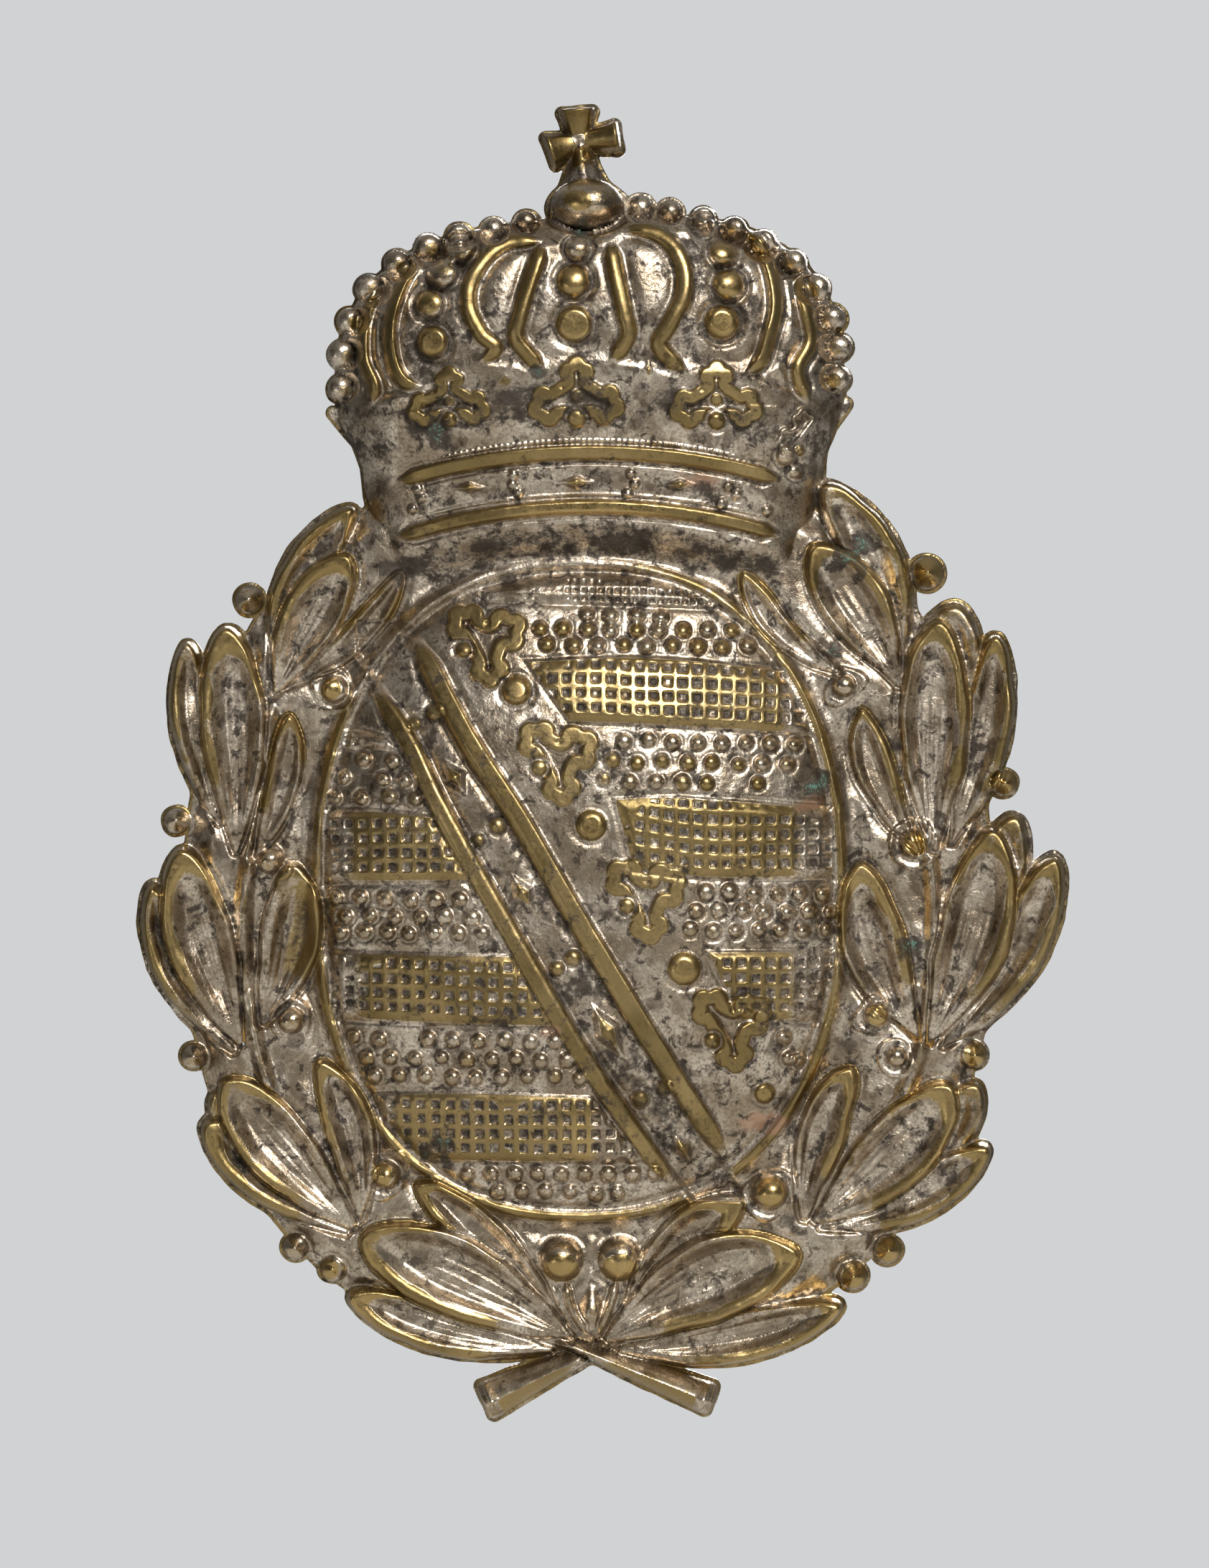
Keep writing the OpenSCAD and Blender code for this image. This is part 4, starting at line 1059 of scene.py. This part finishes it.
def thread(y, depth):
    """How far a screw thread is cut in round a post at one height, from 0 to depth."""
    phase = (y / PITCH - THETA / (2 * math.pi)) % 1
    return depth * np.clip(np.abs(phase - 0.5) * 2.6 - 0.25, 0, 1)


def post(name, place, foot_y):
    top = foot_y + FOOT_T
    rings = [(FOOT_R - 0.1, foot_y), (FOOT_R, foot_y + 0.06), (FOOT_R, top - 0.06), (FOOT_R - 0.1, top),
             (COLLAR_R, top), (SHANK_R + 0.02, top + COLLAR_L), (SHANK_R, top + COLLAR_L + 0.1),
             (SHANK_R, CAP_T - 0.12), (SHANK_R - 0.1, CAP_T), (THREAD_R, CAP_T)]
    for y in np.arange(CAP_T + 0.05, POST_END - 0.02, 0.05):
        cut = thread(y, 0.28) * smooth(CAP_T + 0.1, CAP_T + 0.5, y)
        taper = max(y - (POST_END - 0.45), 0)
        rings.append((THREAD_R - np.maximum(cut, taper), y))
    rings.append((THREAD_R - 0.5, POST_END))
    return turned_piece(name, place, rings, False)


def ripple(seed):
    """A closed wavy line round a piece, between about -1 and 1."""
    rng = np.random.default_rng(seed)
    return sum(np.cos(k * THETA + rng.uniform(0, 6.3)) / k for k in range(2, 7)) / 1.2


def back_height(x, z):
    """Height of the sheet's hollow back at a point of the frame, in millimetres."""
    i = np.clip(((x - LEFT) / STEP).astype(int), 0, X.shape[1] - 1)
    j = np.clip(((z + DRAWING_Z - LOW) / STEP).astype(int), 0, X.shape[0] - 1)
    return BACK[j, i]


def solder(name, place, foot_y, seed):
    """A lumpy fillet of solder from the sheet's back over the foot's edge to its collar."""
    top = foot_y + FOOT_T
    outer = 2.95 + 0.14 * ripple(seed)
    sheet_y = -back_height(place[0] + outer * np.cos(THETA), place[1] + outer * np.sin(THETA))
    rings = [
        (FOOT_R, foot_y),
        (outer, np.clip(sheet_y - 0.05, foot_y - 0.3, top + 0.3)),
        (outer * 0.97, np.clip(sheet_y + 0.1, foot_y - 0.1, top + 0.35)),
        (FOOT_R + 0.05 + 0.03 * ripple(seed + 1), top + 0.02),
        (0.5 * (FOOT_R + COLLAR_R) + 0.1 * ripple(seed + 2), top + 0.1 + 0.04 * ripple(seed + 3)),
        (COLLAR_R + 0.22 + 0.05 * ripple(seed + 4), top + 0.17 + 0.03 * ripple(seed + 5)),
        (COLLAR_R, top + COLLAR_L - 0.02),
        (COLLAR_R, top - 0.02),
        (FOOT_R - 0.02, top - 0.02),
    ]
    return turned_piece(name, place, rings, True)


def washer(name, place, y, outer, thick, soft, seed):
    """A flat ring with rounded edges; soft makes it uneven, as cut leather is."""
    lean, swell = soft * ripple(seed), soft * 0.3 * ripple(seed + 1)
    e = min(0.12, thick / 4)
    profile = [(BORE_R, e), (BORE_R + e, 0), (outer - 2 * e, 0), (outer - 0.5 * e, 0.3 * e), (outer, e),
               (outer + 0.2 * soft, thick / 2), (outer, thick - e), (outer - 0.5 * e, thick - 0.3 * e),
               (outer - 2 * e, thick), (BORE_R + e + 0.8, thick), (BORE_R + e, thick), (BORE_R, thick - e)]
    rings = [(r + lean * (r > 2), y + h + swell * (0 < h < thick) * (r > 2)) for r, h in profile]
    return turned_piece(name, place, rings, True)


def nut(name, place):
    """A square nut with its corners turned off on the outer side, and a threaded bore."""
    flat = NUT_HALF / (np.abs(np.cos(THETA)) ** 26 + np.abs(np.sin(THETA)) ** 26) ** (1 / 26)
    rings = []
    for h, inset in ((NUT_GAP, 0.12), (0.04, 0.04), (0.1, 0), (1.2, 0), (1.45, 0), (1.6, 0), (1.75, 0),
                     (1.9, 0.02), (1.97, 0.07), (2, 0.16)):
        cone = NUT_HALF * 1.32 + NUT_T - 1.175 * h
        rings.append((np.minimum(flat - inset, cone), NUT_Y + h))
    rings.append((THREAD_R + 0.3, NUT_END))
    for h in np.arange(NUT_T - 0.2, 0.19, -0.05):
        rings.append((THREAD_R + 0.25 - thread(NUT_Y + h, 0.2), NUT_Y + h))
    rings.append((THREAD_R + 0.3, NUT_Y + NUT_GAP))
    return turned_piece(name, place, rings, True)


for number, where in enumerate(("upper", "lower_left", "lower_right")):
    seed = 200 + 20 * number
    low, high = size_of(f"{where}_post")
    place, foot_y = np.round((low + high)[[0, 2]] / 2, 2), low[1]
    place_piece(post(f"{where}_screw_post", place, foot_y), "badge", f"{where}_post", "post_brass")
    piece = solder(f"{where}_solder_fillet", place, foot_y, seed)
    place_piece(piece, "badge", f"{where}_solder", "soft_solder")
    thick = WASHER_Y - SEAT_Y
    piece = washer(f"{where}_cut_leather", place, SEAT_Y, LEATHER_R - 0.08, thick, 0.1, seed + 8)
    place_piece(piece, f"{where}_washers", f"{where}_leather_washer", "dark_leather")
    piece = washer(f"{where}_round_washer", place, WASHER_Y, WASHER_R, NUT_Y - WASHER_Y, 0, seed + 12)
    place_piece(piece, f"{where}_washers", f"{where}_washer", "washer_brass")
    place_piece(nut(f"{where}_square_nut", place), f"{where}_nut", f"{where}_nut", "nut_brass")

# ---- floor, light and camera
scene = bpy.context.scene


def floor(side, front, behind, z):
    mesh = bpy.data.meshes.new("floor")
    corners = [(-side, front, z), (side, front, z), (side, behind, z), (-side, behind, z)]
    mesh.from_pydata(corners, [], [(0, 1, 2, 3)])
    material, shader = new_material("pale_floor")
    fill(shader, {"Base Color": rgb(206, 206, 204), "Roughness": 0.9})
    mesh.materials.append(material)
    linked("floor", mesh)


def soft_light(name, where, target, size, power):
    light = bpy.data.lights.new(name, "AREA")
    light.shape = "RECTANGLE"
    light.size, light.size_y = size
    light.energy = power
    obj = linked(name, light)
    obj.location = where
    obj.rotation_euler = (Vector(target) - Vector(where)).to_track_quat("-Z", "Y").to_euler()


def studio():
    """A pale studio that the camera sees, and a dimmer one in the reflections."""
    world = bpy.data.worlds.new("studio")
    scene.world = world
    world.use_nodes = True
    tree = world.node_tree
    where = add(tree, "ShaderNodeTexCoord").outputs["Generated"]
    axes = add(tree, "ShaderNodeSeparateXYZ", {0: where}).outputs
    # dim in front, where the camera stands, and lighter behind, above and below
    glow = 0.06
    for axis, low, high, amount in (("Y", -0.2, 0.8, 0.15), ("Z", 0.25, 1, 0.2),
                                    ("Z", -0.15, -0.8, 0.42)):
        glow = Value(axes[axis]).step(low, high, amount) + glow
    reflected = tree.nodes["Background"]
    fill(reflected, {"Color": (1, 0.985, 0.96, 1), "Strength": glow})
    seen = add(tree, "ShaderNodeBackground", {"Color": rgb(209, 210, 211)})
    by_camera = add(tree, "ShaderNodeLightPath").outputs["Is Camera Ray"]
    mixed = add(tree, "ShaderNodeMixShader", {0: by_camera, 1: reflected.outputs[0], 2: seen.outputs[0]})
    fill(tree.nodes["World Output"], {"Surface": mixed.outputs[0]})


floor(0.26, -0.34, 0.04, -62 * MM)
studio()
soft_light("upper_key", (0.14, -0.4, 0.28), (0, 0, 0.005), (0.18, 0.13), 2.5)
soft_light("side_fill", (-0.26, -0.3, -0.12), (0, 0, -0.005), (0.12, 0.2), 0.36)
soft_light("rear_fill", (0.06, 0.5, 0.13), (0, 0, 0), (0.25, 0.2), 3)

camera = linked("camera", bpy.data.cameras.new("camera"))
camera.data.lens = 120
camera.data.sensor_width = 36
camera.location = (1.18 * MM, -389 * MM, 4.33 * MM)
camera.rotation_euler = (math.pi / 2, 0, 0)
scene.camera = camera
scene.view_settings.view_transform = "Standard"
